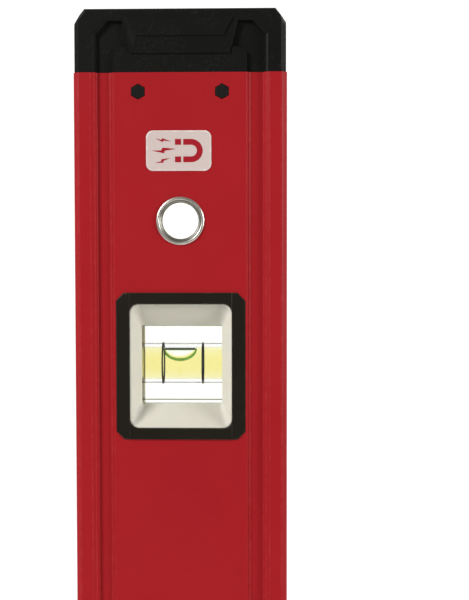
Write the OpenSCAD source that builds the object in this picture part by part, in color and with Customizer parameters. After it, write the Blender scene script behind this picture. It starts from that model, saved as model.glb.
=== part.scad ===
// Box-section spirit level, standing on its end: two plumb vials, one centre vial, sprung cap studs.
// +Z runs along the level, +X across its face, the front face looks towards -Y.

/* [Body] */
// Overall length over both end caps
level_length = 600; // [400:50:1200]
// Width of the face from working edge to working edge
face_width = 61.6; // [60.8:0.2:64]
// Thickness over the edge rails
body_depth = 26; // [26:0.5:30]
// Chamfer along the four long corners
edge_chamfer = 1.4; // [0.6:0.1:1.8]
// Width of an edge rail, from the side to the groove
rail_width = 6.7; // [6.2:0.1:6.9]
// Width of the groove between rail and web
groove_width = 4.9; // [4:0.1:5]
// Depth of the groove below the rail
groove_depth = 1.5; // [1:0.1:1.6]
// Depth of the flat web below the rail
web_drop = 0.5; // [0.2:0.1:0.8]
// Wall thickness of the web
web_wall = 1.8; // [1.4:0.1:2]
// Wall thickness behind the working edges
edge_wall = 2.5; // [2:0.1:3.5]

/* [End caps] */
// Height of an end cap beyond the body
cap_height = 18.2; // [17:0.1:22]
// How far the inner plug reaches into the body
plug_depth = 24; // [20:1:30]
// How far the impact boss stands proud of the rails
boss_proud = 0.5; // [0.2:0.1:1]
// Distance of a snap stud from the body's end
stud_drop = 5.5; // [5:0.1:8]
// Distance of a snap stud from the centre line
stud_offset = 12.1; // [10:0.1:14]
// Width of a hexagonal stud across its flats
stud_flats = 3.7; // [3:0.1:4.5]

/* [Hang hole] */
// Distance of the hang hole from the upper end
hang_drop = 60.8; // [55:0.1:64]
// Clear diameter of the hang hole
hang_d = 10.4; // [8:0.1:12]
// Diameter of the rolled flange
hang_flange_d = 14; // [13:0.1:16]

/* [Vial windows] */
// Distance of a plumb vial from its end of the level
plumb_drop = 102.9; // [95:0.1:120]
// Width of a black window frame
frame_w = 37.5; // [36.5:0.1:38]
// Height of a black window frame
frame_h = 42.7; // [41:0.1:44]
// Width of the opening in the frame
opening_w = 29.6; // [29:0.1:30]
// Height of the opening in the frame
opening_h = 36; // [35:0.1:37]

/* [Vials] */
// Length of a vial block along its bore
block_len = 26.4; // [25:0.1:26.6]
// Height of a vial block
block_h = 23; // [22:0.1:24]
// Thickness of a vial block
block_t = 14; // [13.6:0.1:15]
// Diameter of the hole through the block
bore_d = 12; // [11:0.1:12]
// Inner diameter of the tube that holds the liquid
tube_d = 9.7; // [9.2:0.1:10.6]
// Distance between the two reading rings
ring_gap = 11.8; // [11:0.1:13]
// Radius of the bubble
bubble_r = 5.15; // [4.5:0.05:5.3]
// Rest position of the plumb bubbles from the middle
plumb_shift = -0.9; // [-2:0.1:2]

/* [Magnets] */
// Number of magnets along the magnetic edge
magnet_count = 5; // [3:1:7]
// Diameter of a magnet
magnet_d = 11; // [8:0.5:12]
// Length of the row of magnets
magnet_span = 480; // [200:20:480]

/* [Label] */
// Width of the magnet label
label_w = 18.8; // [15:0.1:22]
// Height of the magnet label
label_h = 11.6; // [10:0.1:14]
// Distance of the label's middle from the upper end
label_drop = 40.65; // [36:0.05:44]

/* [Hidden] */
$fn = 64;

half_w = face_width / 2;
half_d = body_depth / 2;
rail_in = half_w - rail_width;
web_edge = rail_in - groove_width;
web_y = half_d - web_drop;
chamber_w = web_edge - 0.2;
chamber_d = web_y - web_wall;
rib = 1.6;
side_chamber_d = half_d - groove_depth - 1.5;

upper_z = level_length - plumb_drop;
lower_z = plumb_drop;
middle_z = level_length / 2;
hang_z = level_length - hang_drop;
stud_z = level_length - cap_height - stud_drop;

slack = 0.1;
flange_proud = 0.5;
frame_corner = 2.3;
opening_r = 2.6;
sleeve_w = frame_w - 2.5;
sleeve_h = frame_h - 2.5;
sleeve_depth = 8;
shell = 1.2;
bezel_w = opening_w + 1.6;
bezel_h = opening_h + 1.6;
bezel_y = web_y - 0.3;
funnel_in = block_t / 2 + slack;
lip = 1.4;
ring_w = 0.5;
ring_t = 0.2;
plug_t = 1.2;
fluid_len = block_len - 2 * plug_t;
cup_wall = 1;
cup_depth = 5.5;
end_shift = fluid_len / 2 - bubble_r - slack;

bead_drop = (groove_depth + web_drop) / 2;

// Half of the face's outline: distance from the middle and drop below the rail, from the side inwards
face_line = [
  [half_w, edge_chamfer],
  [half_w - edge_chamfer, 0],
  [rail_in + 1.7, 0],
  [rail_in + 0.7, 0.35],
  [rail_in + 0.35, 0.35],
  [rail_in, groove_depth],
  [web_edge + 1.1, groove_depth],
  [web_edge + 0.8, bead_drop],
  [web_edge + 0.3, bead_drop],
  [web_edge, web_drop]
];

// ---------- shared shapes ----------

// The body's outer outline, front and back alike
module body_outline() {
  last = len(face_line) - 1;
  polygon(concat(
    [for (p = face_line) [p[0], p[1] - half_d]],
    [for (i = [last : -1 : 0]) [-face_line[i][0], face_line[i][1] - half_d]],
    [for (p = face_line) [-p[0], half_d - p[1]]],
    [for (i = [last : -1 : 0]) [face_line[i][0], half_d - face_line[i][1]]]
  ));
}

// A rectangle with its corners cut off
module cut_rect(w, h, cut) {
  polygon([
    [w / 2 - cut, h / 2], [cut - w / 2, h / 2], [-w / 2, h / 2 - cut], [-w / 2, cut - h / 2],
    [cut - w / 2, -h / 2], [w / 2 - cut, -h / 2], [w / 2, cut - h / 2], [w / 2, h / 2 - cut]
  ]);
}

// A rectangle with round corners, from true arcs
module round_rect(w, h, r) {
  square([w - 2 * r, h], center = true);
  square([w, h - 2 * r], center = true);
  for (x = [-1, 1], z = [-1, 1])
    translate([x * (w / 2 - r), z * (h / 2 - r)])
      circle(r = r, $fn = 32);
}

// Extrudes an outline drawn in X and Z from y1 back to y2
module slab(y1, y2) {
  translate([0, y2, 0])
    rotate([90, 0, 0])
      linear_extrude(y2 - y1)
        children();
}

// Places a child at the upper end, or mirrored at the lower end
module at_end(upper) {
  if (upper)
    children();
  else
    translate([0, 0, level_length])
      mirror([0, 0, 1])
        children();
}

// Keeps a child in front, or mirrors it to the back
module on_side(front) {
  mirror([0, front ? 0 : 1, 0])
    children();
}

// Turns a child's X and Z so that a vial lies along the level
module turned(along) {
  rotate([0, along ? 90 : 0, 0])
    children();
}

// A rod along Y from y1 back to y2
module rod_y(r, y1, y2) {
  translate([0, y2, 0])
    rotate([90, 0, 0])
      cylinder(r = r, h = y2 - y1);
}

// A rod along X, centred
module rod_x(r, len) {
  rotate([0, 90, 0])
    cylinder(r = r, h = len, center = true);
}

// A hexagonal bar along Y, points up and down
module hex_y(flats, y1, y2) {
  translate([0, y2, 0])
    rotate([90, 0, 0])
      rotate(30)
        cylinder(r = flats / 2 / cos(30), h = y2 - y1, $fn = 6);
}

// ---------- body ----------

module chambers() {
  translate([-chamber_w, -chamber_d])
    square([2 * chamber_w, 2 * chamber_d]);
  for (side = [-1, 1])
    translate([side * (chamber_w + rib + half_w - edge_wall) / 2, 0])
      square([half_w - edge_wall - chamber_w - rib, 2 * side_chamber_d], center = true);
}

module magnet_places() {
  for (i = [0 : magnet_count - 1])
    translate([-half_w, 0, middle_z - magnet_span / 2 + i * magnet_span / (magnet_count - 1)])
      rotate([0, 90, 0])
        children();
}

module beam() {
  color("firebrick")
    difference() {
      translate([0, 0, cap_height])
        linear_extrude(level_length - 2 * cap_height)
          difference() {
            body_outline();
            chambers();
          }
      for (z = [lower_z, middle_z, upper_z])
        translate([-(sleeve_w + 2 * slack) / 2, -half_d - 1, z - sleeve_h / 2 - slack])
          cube([sleeve_w + 2 * slack, body_depth + 2, sleeve_h + 2 * slack]);
      translate([0, 0, hang_z])
        rod_y(hang_d / 2 + 0.85, -half_d - 1, half_d + 1);
      for (upper = [true, false], x = [-1, 1])
        at_end(upper)
          translate([x * stud_offset, 0, stud_z])
            hex_y(stud_flats + 0.3, -half_d - 1, half_d + 1);
      magnet_places()
        translate([0, 0, -1])
          cylinder(d = magnet_d + 2 * cup_wall + 0.1, h = edge_wall + 2);
    }
}

// Thin sleeve with a flange rolled over each face
module hang_eyelet() {
  sleeve_r = hang_d / 2 + 0.8;
  flange_t = 0.6;
  color("silver")
    translate([0, 0, hang_z])
      difference() {
        union() {
          rod_y(sleeve_r, -web_y - flange_t, web_y + flange_t);
          rod_y(hang_flange_d / 2, -web_y - flange_t, -web_y);
          rod_y(hang_flange_d / 2, web_y, web_y + flange_t);
        }
        rod_y(hang_d / 2, -half_d - 1, half_d + 1);
      }
}

module magnet_cups() {
  color("gray")
    magnet_places()
      difference() {
        cylinder(d = magnet_d + 2 * cup_wall, h = cup_depth);
        translate([0, 0, -1])
          cylinder(d = magnet_d + 0.1, h = cup_depth - cup_wall + 1);
      }
}

module magnets() {
  color("silver")
    magnet_places()
      translate([0, 0, 0.15])
        cylinder(d = magnet_d, h = cup_depth - cup_wall - 0.2);
}

module magnet_label() {
  color("mistyrose")
    translate([-0.4, 0, level_length - label_drop])
      slab(-web_y - 0.15, -web_y)
        round_rect(label_w, label_h, 2);
}

// ---------- end caps ----------

cap_w = face_width - 0.6;
cap_d = body_depth - 0.2;
core_w = 44;
core_d = 14;
core_h = 11;
joint_z = level_length - cap_height;

// Half width of the boss at a height above the joint; its sides lean outwards
function boss_side(z) = 14.3 + 0.26 * (z - panel_top);
panel_top = 5.4;
// Recess that carries the groove up into the cap and turns in to the boss; heights above the joint
recess = [
  [rail_in + 0.4, -1], [rail_in + 0.4, 10.6], [20.9, 14.7], [boss_side(14.7), 14.7],
  [boss_side(7.6), 7.6], [17, 7], [web_edge - 0.3, 6], [web_edge, panel_top], [web_edge, -1]
];
// Low panel that carries the web into the cap, up to the foot of the boss and a little up its sides
panel = [
  [web_edge + 0.3, -1], [web_edge + 0.3, 5.6], [17.2, 7.4], [boss_side(7.9), 7.9],
  [boss_side(panel_top), panel_top], [-1, panel_top], [-1, -1]
];
// Raised middle of the boss
boss = [[-12.5, 10.2], [-15.2, 15.6], [15.2, 15.6], [12.5, 10.2]];
// Front silhouette of the cap
cap_face = [[-cap_w / 2, 0], [-cap_w / 2, cap_height - 3.8], [3 - cap_w / 2, cap_height],
  [cap_w / 2 - 3, cap_height], [cap_w / 2, cap_height - 3.8], [cap_w / 2, 0]];

module cap_cover(upper) {
  color([0.12, 0.12, 0.11])
    at_end(upper)
      translate([0, 0, joint_z])
        difference() {
          union() {
            intersection() {
              linear_extrude(cap_height)
                cut_rect(cap_w, cap_d, edge_chamfer);
              slab(-half_d, half_d)
                polygon(cap_face);
            }
            slab(-half_d - boss_proud, half_d + boss_proud)
              polygon(boss);
          }
          for (front = [true, false])
            on_side(front) {
              for (side = [0, 1])
                mirror([side, 0, 0]) {
                  slab(-half_d - 1, groove_depth - half_d)
                    polygon(recess);
                  slab(-half_d - 1, web_drop - half_d)
                    polygon(panel);
                }
            }
          translate([-core_w / 2 - slack, -core_d / 2 - slack, -1])
            cube([core_w + 2 * slack, core_d + 2 * slack, core_h + 1 + slack]);
        }
}

module stud_places() {
  for (x = [-1, 1])
    translate([x * stud_offset, 0, stud_z])
      children();
}

// Hard core of the cap: a tongue in the cover, three tongues in the body's chambers
module cap_plug(upper) {
  skirt = 10;
  tongue_w = chamber_w - 0.2;
  tongue_d = chamber_d - 0.2;
  partition = 1;
  color([0.2, 0.2, 0.2])
    at_end(upper)
      difference() {
        union() {
          translate([-core_w / 2, -core_d / 2, joint_z - 1])
            cube([core_w, core_d, core_h + 1]);
          translate([-tongue_w, -tongue_d, joint_z - plug_depth])
            cube([2 * tongue_w, 2 * tongue_d, plug_depth - slack]);
          for (side = [-1, 1])
            translate([side * 24.3, 0, joint_z - 7])
              cube([6.6, 2 * side_chamber_d - 0.4, 14 - 0.2], center = true);
        }
        for (side = [-1, 1])
          translate([side * (chamber_w + rib / 2), 0, joint_z - plug_depth / 2])
            cube([rib + 0.3, body_depth, plug_depth + 0.2], center = true);
        translate([2 - tongue_w, 2 - tongue_d, joint_z - plug_depth - 1])
          cube([2 * tongue_w - 4, 2 * tongue_d - 4, skirt + 1]);
        stud_places() {
          rod_y(3.5, -half_d, -partition);
          rod_y(3.5, partition, half_d);
        }
      }
}

// ---------- snap studs ----------

stud_head = web_y + 0.1;
stud_shoulder = chamber_d - 0.2;

module stud(upper, front, side) {
  color([0.1, 0.1, 0.1])
    at_end(upper)
      on_side(front)
        translate([side * stud_offset, 0, stud_z]) {
          hex_y(stud_flats, -stud_head, -stud_shoulder);
          rod_y(3.1, -stud_shoulder, 1 - stud_shoulder);
          rod_y(1.3, 1 - stud_shoulder, -4.2);
        }
}

spring_r = 2.1;
wire_r = 0.25;
spring_turns = 5;
spring_steps = 12;
wire_sides = 6;
spring_from = stud_shoulder - 1 - wire_r - 0.02;
spring_to = 1 + wire_r + 0.02;

// Point k of the wire's section at step i along the coil
function wire_point(i, k) =
  let (
    turn = 360 * i / spring_steps,
    around = 360 * k / wire_sides,
    r = spring_r + wire_r * cos(around),
    along = spring_from + (spring_to - spring_from) * i / (spring_turns * spring_steps)
  )
  [r * cos(turn), -along + wire_r * sin(around), r * sin(turn)];

module coil_spring() {
  rings = spring_turns * spring_steps;
  polyhedron(
    points = [for (i = [0 : rings], k = [0 : wire_sides - 1]) wire_point(i, k)],
    faces = concat(
      [[for (k = [0 : wire_sides - 1]) k]],
      [for (i = [0 : rings - 1], k = [0 : wire_sides - 1])
        let (a = i * wire_sides + k, b = i * wire_sides + (k + 1) % wire_sides)
        [a, a + wire_sides, b + wire_sides, b]],
      [[for (k = [wire_sides - 1 : -1 : 0]) rings * wire_sides + k]]
    )
  );
}

module stud_springs(upper) {
  color("silver")
    at_end(upper)
      stud_places()
        for (front = [true, false])
          on_side(front)
            coil_spring();
}

// ---------- vial windows ----------

// Black frame: a proud flange on the web and a sleeve through the wall
module vial_frame(z, front) {
  color([0.13, 0.13, 0.11])
    translate([0, 0, z])
      on_side(front)
        difference() {
          union() {
            slab(-web_y - flange_proud, -web_y)
              cut_rect(frame_w, frame_h, frame_corner);
            slab(-web_y - 0.1, sleeve_depth - web_y)
              square([sleeve_w, sleeve_h], center = true);
          }
          slab(-half_d - 1, -web_y + 1)
            round_rect(opening_w, opening_h, opening_r);
          slab(-bezel_y - 0.05, 0)
            round_rect(bezel_w + 2 * slack, bezel_h + 2 * slack, opening_r + 0.8);
        }
}

// A solid that narrows from one outline at y1 to another at y2
module funnel(w1, h1, y1, w2, h2, y2) {
  hull() {
    slab(y1, y1 + 0.01)
      round_rect(w1, h1, opening_r);
    slab(y2 - 0.01, y2)
      square([w2, h2], center = true);
  }
}

// Pale funnel that narrows to the vial and holds half of it
module vial_bezel(z, front, along) {
  clear_w = along ? block_h : block_len - 2 * lip;
  clear_h = along ? block_len - 2 * lip : block_h;
  pocket_w = (along ? block_h : block_len) + 2 * slack;
  pocket_h = (along ? block_len : block_h) + 2 * slack;
  color("ivory")
    translate([0, 0, z])
      on_side(front)
        difference() {
          union() {
            slab(-bezel_y, shell - bezel_y)
              round_rect(bezel_w, bezel_h, opening_r + 0.8);
            funnel(bezel_w - 0.4, bezel_h - 0.4, shell - bezel_y - 0.1,
              pocket_w + 2 * shell, pocket_h + 2 * shell, -funnel_in + 0.4);
            slab(-funnel_in, -0.05)
              square([pocket_w + 2 * shell, pocket_h + 2 * shell], center = true);
          }
          funnel(opening_w - 0.9, opening_h - 0.9, -bezel_y - 0.01, clear_w, clear_h, -funnel_in + 0.01);
          slab(-funnel_in - 1, -funnel_in + 0.5)
            square([clear_w, clear_h], center = true);
          slab(-funnel_in, 1)
            square([pocket_w, pocket_h], center = true);
        }
}

// Clear block with a bore and two fine grooves for the rings
module vial_block(z, along) {
  color([0.85, 0.95, 0.85, 0.4])
    translate([0, 0, z])
      turned(along)
        difference() {
          cube([block_len, block_t, block_h], center = true);
          rod_x(bore_d / 2, block_len + 1);
          for (x = [-1, 1])
            translate([x * ring_gap / 2, 0, 0])
              rod_x(bore_d / 2 + ring_t, ring_w);
        }
}

// Clear tube in the block's hole
module vial_tube(z, along) {
  color([0.85, 0.95, 0.85, 0.4])
    translate([0, 0, z])
      turned(along)
        difference() {
          rod_x(bore_d / 2 - 0.02, block_len);
          rod_x(tube_d / 2, block_len + 1);
        }
}

module vial_end_plugs(z, along) {
  color("white")
    translate([0, 0, z])
      turned(along)
        for (x = [-1, 1])
          translate([x * (block_len - plug_t) / 2, 0, 0])
            rod_x(tube_d / 2 - 0.02, plug_t);
}

module vial_rings(z, along) {
  color("black")
    translate([0, 0, z])
      turned(along)
        for (x = [-1, 1])
          translate([x * ring_gap / 2, 0, 0])
            difference() {
              rod_x(bore_d / 2 + ring_t - 0.01, ring_w - 0.02);
              rod_x(bore_d / 2, ring_w + 1);
            }
}

// Liquid round the bubble's place
module vial_fluid(z, along, shift) {
  color([0.9, 0.95, 0.2, 0.6])
    translate([0, 0, z])
      turned(along)
        difference() {
          rod_x(tube_d / 2 - 0.04, fluid_len - 0.04);
          translate([shift, 0, bore_d / 2])
            sphere(r = bubble_r + 0.08);
        }
}

// Gas bubble under the top of the tube
module vial_bubble(z, along, shift) {
  color([0.8, 1, 0.7, 0.5])
    translate([0, 0, z])
      turned(along)
        intersection() {
          translate([shift, 0, 0])
            rod_x(tube_d / 2 - 0.15, 3 * bubble_r);
          translate([shift, 0, bore_d / 2])
            sphere(r = bubble_r);
        }
}

beam();
hang_eyelet();
magnet_cups();
magnets();
magnet_label();
cap_cover(true);  // upper_cap_cover
cap_plug(true);  // upper_cap_plug
stud_springs(true);  // upper_stud_springs
stud(true, true, -1);  // upper_stud_front_left
stud(true, true, 1);  // upper_stud_front_right
stud(true, false, -1);  // upper_stud_back_left
stud(true, false, 1);  // upper_stud_back_right
cap_cover(false);  // lower_cap_cover
cap_plug(false);  // lower_cap_plug
stud_springs(false);  // lower_stud_springs
stud(false, true, -1);  // lower_stud_front_left
stud(false, true, 1);  // lower_stud_front_right
stud(false, false, -1);  // lower_stud_back_left
stud(false, false, 1);  // lower_stud_back_right
vial_frame(upper_z, true);  // upper_vial_frame_front
vial_frame(upper_z, false);  // upper_vial_frame_back
vial_bezel(upper_z, true, false);  // upper_vial_bezel_front
vial_bezel(upper_z, false, false);  // upper_vial_bezel_back
vial_block(upper_z, false);  // upper_vial_block
vial_tube(upper_z, false);  // upper_vial_tube
vial_end_plugs(upper_z, false);  // upper_vial_end_plugs
vial_rings(upper_z, false);  // upper_vial_rings
vial_fluid(upper_z, false, plumb_shift);  // upper_vial_fluid
vial_bubble(upper_z, false, plumb_shift);  // upper_vial_bubble
vial_frame(middle_z, true);  // centre_vial_frame_front
vial_frame(middle_z, false);  // centre_vial_frame_back
vial_bezel(middle_z, true, true);  // centre_vial_bezel_front
vial_bezel(middle_z, false, true);  // centre_vial_bezel_back
vial_block(middle_z, true);  // centre_vial_block
vial_tube(middle_z, true);  // centre_vial_tube
vial_end_plugs(middle_z, true);  // centre_vial_end_plugs
vial_rings(middle_z, true);  // centre_vial_rings
vial_fluid(middle_z, true, -end_shift);  // centre_vial_fluid
vial_bubble(middle_z, true, -end_shift);  // centre_vial_bubble
vial_frame(lower_z, true);  // lower_vial_frame_front
vial_frame(lower_z, false);  // lower_vial_frame_back
vial_bezel(lower_z, true, false);  // lower_vial_bezel_front
vial_bezel(lower_z, false, false);  // lower_vial_bezel_back
vial_block(lower_z, false);  // lower_vial_block
vial_tube(lower_z, false);  // lower_vial_tube
vial_end_plugs(lower_z, false);  // lower_vial_end_plugs
vial_rings(lower_z, false);  // lower_vial_rings
vial_fluid(lower_z, false, plumb_shift);  // lower_vial_fluid
vial_bubble(lower_z, false, plumb_shift);  // lower_vial_bubble
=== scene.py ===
"""The looks of a box-section spirit level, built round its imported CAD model.

Every length below is in metres. A node's place comes from the frame, and a dataclass field holds what the
frame can't say, such as the width of a groove or the radius of a fillet.
"""

import logging
import math
from contextlib import contextmanager
from dataclasses import dataclass
from enum import Enum
from typing import Callable, Iterator, Sequence

import bmesh
import bpy
from mathutils import Matrix, Vector


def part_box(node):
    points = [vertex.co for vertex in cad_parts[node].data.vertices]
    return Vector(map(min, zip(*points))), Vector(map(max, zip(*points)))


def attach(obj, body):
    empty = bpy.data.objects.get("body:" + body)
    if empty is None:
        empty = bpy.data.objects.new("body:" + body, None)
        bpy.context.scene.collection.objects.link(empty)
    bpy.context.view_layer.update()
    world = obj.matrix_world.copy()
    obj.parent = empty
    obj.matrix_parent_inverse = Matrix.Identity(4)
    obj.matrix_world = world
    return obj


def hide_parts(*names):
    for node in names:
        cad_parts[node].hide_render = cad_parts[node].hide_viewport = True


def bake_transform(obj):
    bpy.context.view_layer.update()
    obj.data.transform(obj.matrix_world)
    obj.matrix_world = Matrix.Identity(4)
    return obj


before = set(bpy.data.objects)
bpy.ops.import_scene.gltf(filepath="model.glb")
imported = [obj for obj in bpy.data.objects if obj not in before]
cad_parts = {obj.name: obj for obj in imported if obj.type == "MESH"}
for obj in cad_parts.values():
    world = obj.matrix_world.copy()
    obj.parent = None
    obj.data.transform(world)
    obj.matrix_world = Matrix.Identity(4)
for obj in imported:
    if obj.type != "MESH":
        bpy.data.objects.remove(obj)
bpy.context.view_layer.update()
BODY = "level"
MM = 0.001
LOG = logging.getLogger("spirit_level")

Point = tuple[float, float, float]
Flat = tuple[float, float]
Colour = tuple[float, float, float]

ACROSS = Vector((1, 0, 0))
DEEP = Vector((0, 1, 0))


class Named(Enum):
    """A choice whose name is part of the names of nodes."""

    @property
    def label(self) -> str:
        """The word that stands for it in the names of nodes."""
        return self.name.lower()


class End(Named):
    """The two ends of the level, with the direction in which each one points."""

    UPPER = 1
    LOWER = -1


class Side(Named):
    """The two faces of the level, with the sign of Y on each one."""

    FRONT = -1
    BACK = 1


class Cut(Enum):
    """What a boolean does with its second solid."""

    AWAY = "DIFFERENCE"
    JOIN = "UNION"


# ---------- modelling by operators ----------


def only(obj: bpy.types.Object) -> None:
    """Selects one object and makes it active.

    Args:
        obj: The object to work on next.
    """
    bpy.ops.object.select_all(action="DESELECT")
    obj.select_set(True)
    bpy.context.view_layer.objects.active = obj


@contextmanager
def editing(obj: bpy.types.Object) -> Iterator[None]:
    """Edit mode on one object for as long as the block lasts.

    Args:
        obj: The mesh object to edit.
    """
    only(obj)
    bpy.ops.object.mode_set(mode="EDIT")
    try:
        yield
    finally:
        bpy.ops.object.mode_set(mode="OBJECT")


def pick_edges(obj: bpy.types.Object, test: Callable[[bmesh.types.BMEdge], bool]) -> None:
    """Selects the edges that pass a test and nothing else, in edit mode.

    Args:
        obj: The mesh object in edit mode.
        test: Says of an edge whether it is wanted.
    """
    bpy.ops.mesh.select_all(action="DESELECT")
    mesh = bmesh.from_edit_mesh(obj.data)
    for edge in mesh.edges:
        if test(edge):
            edge.select = True
    bmesh.update_edit_mesh(obj.data)


def pick_faces(obj: bpy.types.Object, test: Callable[[bmesh.types.BMFace], bool]) -> None:
    """Selects the faces that pass a test, without the corners that they share with others, in edit mode.

    Args:
        obj: The mesh object in edit mode.
        test: Says of a face whether it is wanted.
    """
    bpy.ops.mesh.select_all(action="DESELECT")
    mesh = bmesh.from_edit_mesh(obj.data)
    for face in mesh.faces:
        face.select = test(face)
    bmesh.update_edit_mesh(obj.data)


def named(name: str) -> bpy.types.Object:
    """The object that an operator has just added, under a new name.

    Args:
        name: The piece's name.

    Returns:
        The active object.
    """
    obj = bpy.context.active_object
    obj.name = name
    obj.data.name = name
    return obj


def place_in_mesh(obj: bpy.types.Object) -> None:
    """Moves an object's place, turn and scale into its mesh."""
    only(obj)
    bpy.ops.object.transform_apply(location=True, rotation=True, scale=True)


def outward(obj: bpy.types.Object, weld: float = 1e-7) -> None:
    """Merges a closed shell's doubles and turns its faces outwards.

    Args:
        obj: The shell.
        weld: Vertices nearer than this become one.
    """
    with editing(obj):
        bpy.ops.mesh.select_all(action="SELECT")
        bpy.ops.mesh.remove_doubles(threshold=weld)
        bpy.ops.mesh.normals_make_consistent(inside=False)


def block(name: str, low: Point, high: Point) -> bpy.types.Object:
    """A box between two corners.

    Args:
        name: The piece's name.
        low: The lowest corner.
        high: The highest corner.

    Returns:
        The box, with its place in its mesh.
    """
    size = [b - a for a, b in zip(low, high)]
    middle = [(a + b) / 2 for a, b in zip(low, high)]
    bpy.ops.mesh.primitive_cube_add(size=1, location=middle, scale=size)
    obj = named(name)
    place_in_mesh(obj)
    return obj


def rod(name: str, middle: Vector, axis: Vector, radius: float, length: float,
        sides: int = 96) -> bpy.types.Object:
    """A straight rod.

    Args:
        name: The piece's name.
        middle: Its centre.
        axis: The direction of its length.
        radius: Its radius, out to its corners.
        length: Its length.
        sides: How many sides it has.

    Returns:
        The rod, with its place in its mesh.
    """
    turn = axis.to_track_quat("Z", "X").to_euler()
    bpy.ops.mesh.primitive_cylinder_add(vertices=sides, radius=radius, depth=length, location=middle,
                                        rotation=turn)
    obj = named(name)
    place_in_mesh(obj)
    return obj


def outline(name: str, points: Sequence[Vector], filled: bool) -> bpy.types.Object:
    """A loop of edges through the points, begun as a circle.

    Args:
        name: The piece's name.
        points: Where its vertices go, in order.
        filled: Whether the loop gets a face.

    Returns:
        The loop.
    """
    fill = "NGON" if filled else "NOTHING"
    bpy.ops.mesh.primitive_circle_add(vertices=len(points), radius=1, fill_type=fill)
    obj = named(name)
    for vertex, point in zip(obj.data.vertices, points):
        vertex.co = point
    return obj


def prism(name: str, points: Sequence[Vector], move: Vector) -> bpy.types.Object:
    """A solid drawn out from a flat outline.

    Args:
        name: The piece's name.
        points: The outline.
        move: How far it is drawn out, and which way.

    Returns:
        The closed solid.
    """
    obj = outline(name, points, filled=True)
    with editing(obj):
        bpy.ops.mesh.select_all(action="SELECT")
        bpy.ops.mesh.extrude_region_move(TRANSFORM_OT_translate={"value": move})
    outward(obj)
    return obj


def loft(name: str, rings: Sequence[Sequence[Vector]], tube: bool = True) -> bpy.types.Object:
    """A skin through a row of rings, each drawn out from the one before.

    Args:
        name: The piece's name.
        rings: Closed loops with equal numbers of points.
        tube: True if the last ring closes on the first, False if both ends get a face.

    Returns:
        The closed solid.
    """
    obj = outline(name, rings[0], filled=not tube)
    rows = [*rings[1:], rings[0]] if tube else rings[1:]
    draw_out = bpy.ops.mesh.extrude_edges_move if tube else bpy.ops.mesh.extrude_region_move
    with editing(obj):
        bpy.ops.mesh.select_all(action="SELECT")
        before = rings[0]
        for ring in rows:
            draw_out()
            mesh = bmesh.from_edit_mesh(obj.data)
            for vertex in [v for v in mesh.verts if v.select]:
                nearest = min(range(len(before)), key=lambda i: (before[i] - vertex.co).length_squared)
                vertex.co = ring[nearest]
            bmesh.update_edit_mesh(obj.data)
            before = ring
    outward(obj)
    return obj


def combine(obj: bpy.types.Object, tool: bpy.types.Object, how: Cut) -> None:
    """Cuts a solid away from another, or joins it on.

    Args:
        obj: The solid that stays.
        tool: The solid that is used up.
        how: What is done with it.
    """
    only(obj)
    modifier = obj.modifiers.new("combine", "BOOLEAN")
    modifier.operation = how.value
    modifier.solver = "EXACT"
    modifier.object = tool
    bpy.ops.object.modifier_apply(modifier=modifier.name)
    bpy.data.meshes.remove(tool.data)


def tidy(obj: bpy.types.Object, flat: float = 0.2) -> None:
    """Joins faces that lie in one plane, so that a bevel runs cleanly.

    Args:
        obj: The solid.
        flat: The angle under which faces count as one, in degrees.
    """
    with editing(obj):
        bpy.ops.mesh.select_all(action="SELECT")
        bpy.ops.mesh.remove_doubles(threshold=1e-6)
        bpy.ops.mesh.dissolve_limited(angle_limit=math.radians(flat))


def soften(obj: bpy.types.Object, width: float, segments: int = 3, angle: float = 25) -> None:
    """Rounds a solid's edges.

    Args:
        obj: The solid.
        width: How far a round reaches from its edge.
        segments: How many strips a round has.
        angle: Edges that bend less than this stay, in degrees.
    """
    only(obj)
    modifier = obj.modifiers.new("round", "BEVEL")
    modifier.width = width
    modifier.segments = segments
    modifier.limit_method = "ANGLE"
    modifier.angle_limit = math.radians(angle)
    modifier.use_clamp_overlap = True
    bpy.ops.object.modifier_apply(modifier=modifier.name)


def shade(obj: bpy.types.Object, angle: float = 32, rim: float = 0.0) -> None:
    """Smooth shading up to an angle, and the mask that marks the narrow faces along edges, where the coats
    paint a highlight and wear.

    Args:
        obj: The piece.
        angle: The angle above which an edge stays sharp, in degrees.
        rim: Faces narrower than this are marked in the attribute "edge".
    """
    only(obj)
    bpy.ops.object.shade_smooth_by_angle(angle=math.radians(angle))
    modifier = obj.modifiers.new("normals", "WEIGHTED_NORMAL")
    modifier.keep_sharp = True
    bpy.ops.object.modifier_apply(modifier=modifier.name)
    mark = obj.data.attributes.new("edge", "FLOAT", "FACE")
    vertices = obj.data.vertices
    for face in obj.data.polygons:
        ring = [vertices[i].co for i in face.vertices]
        longest = max((a - b).length for a, b in zip(ring, ring[1:] + ring[:1]))
        mark.data[face.index].value = 1.0 if face.area < rim * longest else 0.0


def join(name: str, parts: Sequence[bpy.types.Object]) -> bpy.types.Object:
    """One object of several.

    Args:
        name: The name of the whole.
        parts: The objects that it is made of.

    Returns:
        The joined object.
    """
    only(parts[0])
    for part in parts:
        part.select_set(True)
    bpy.ops.object.join()
    return named(name)


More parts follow.
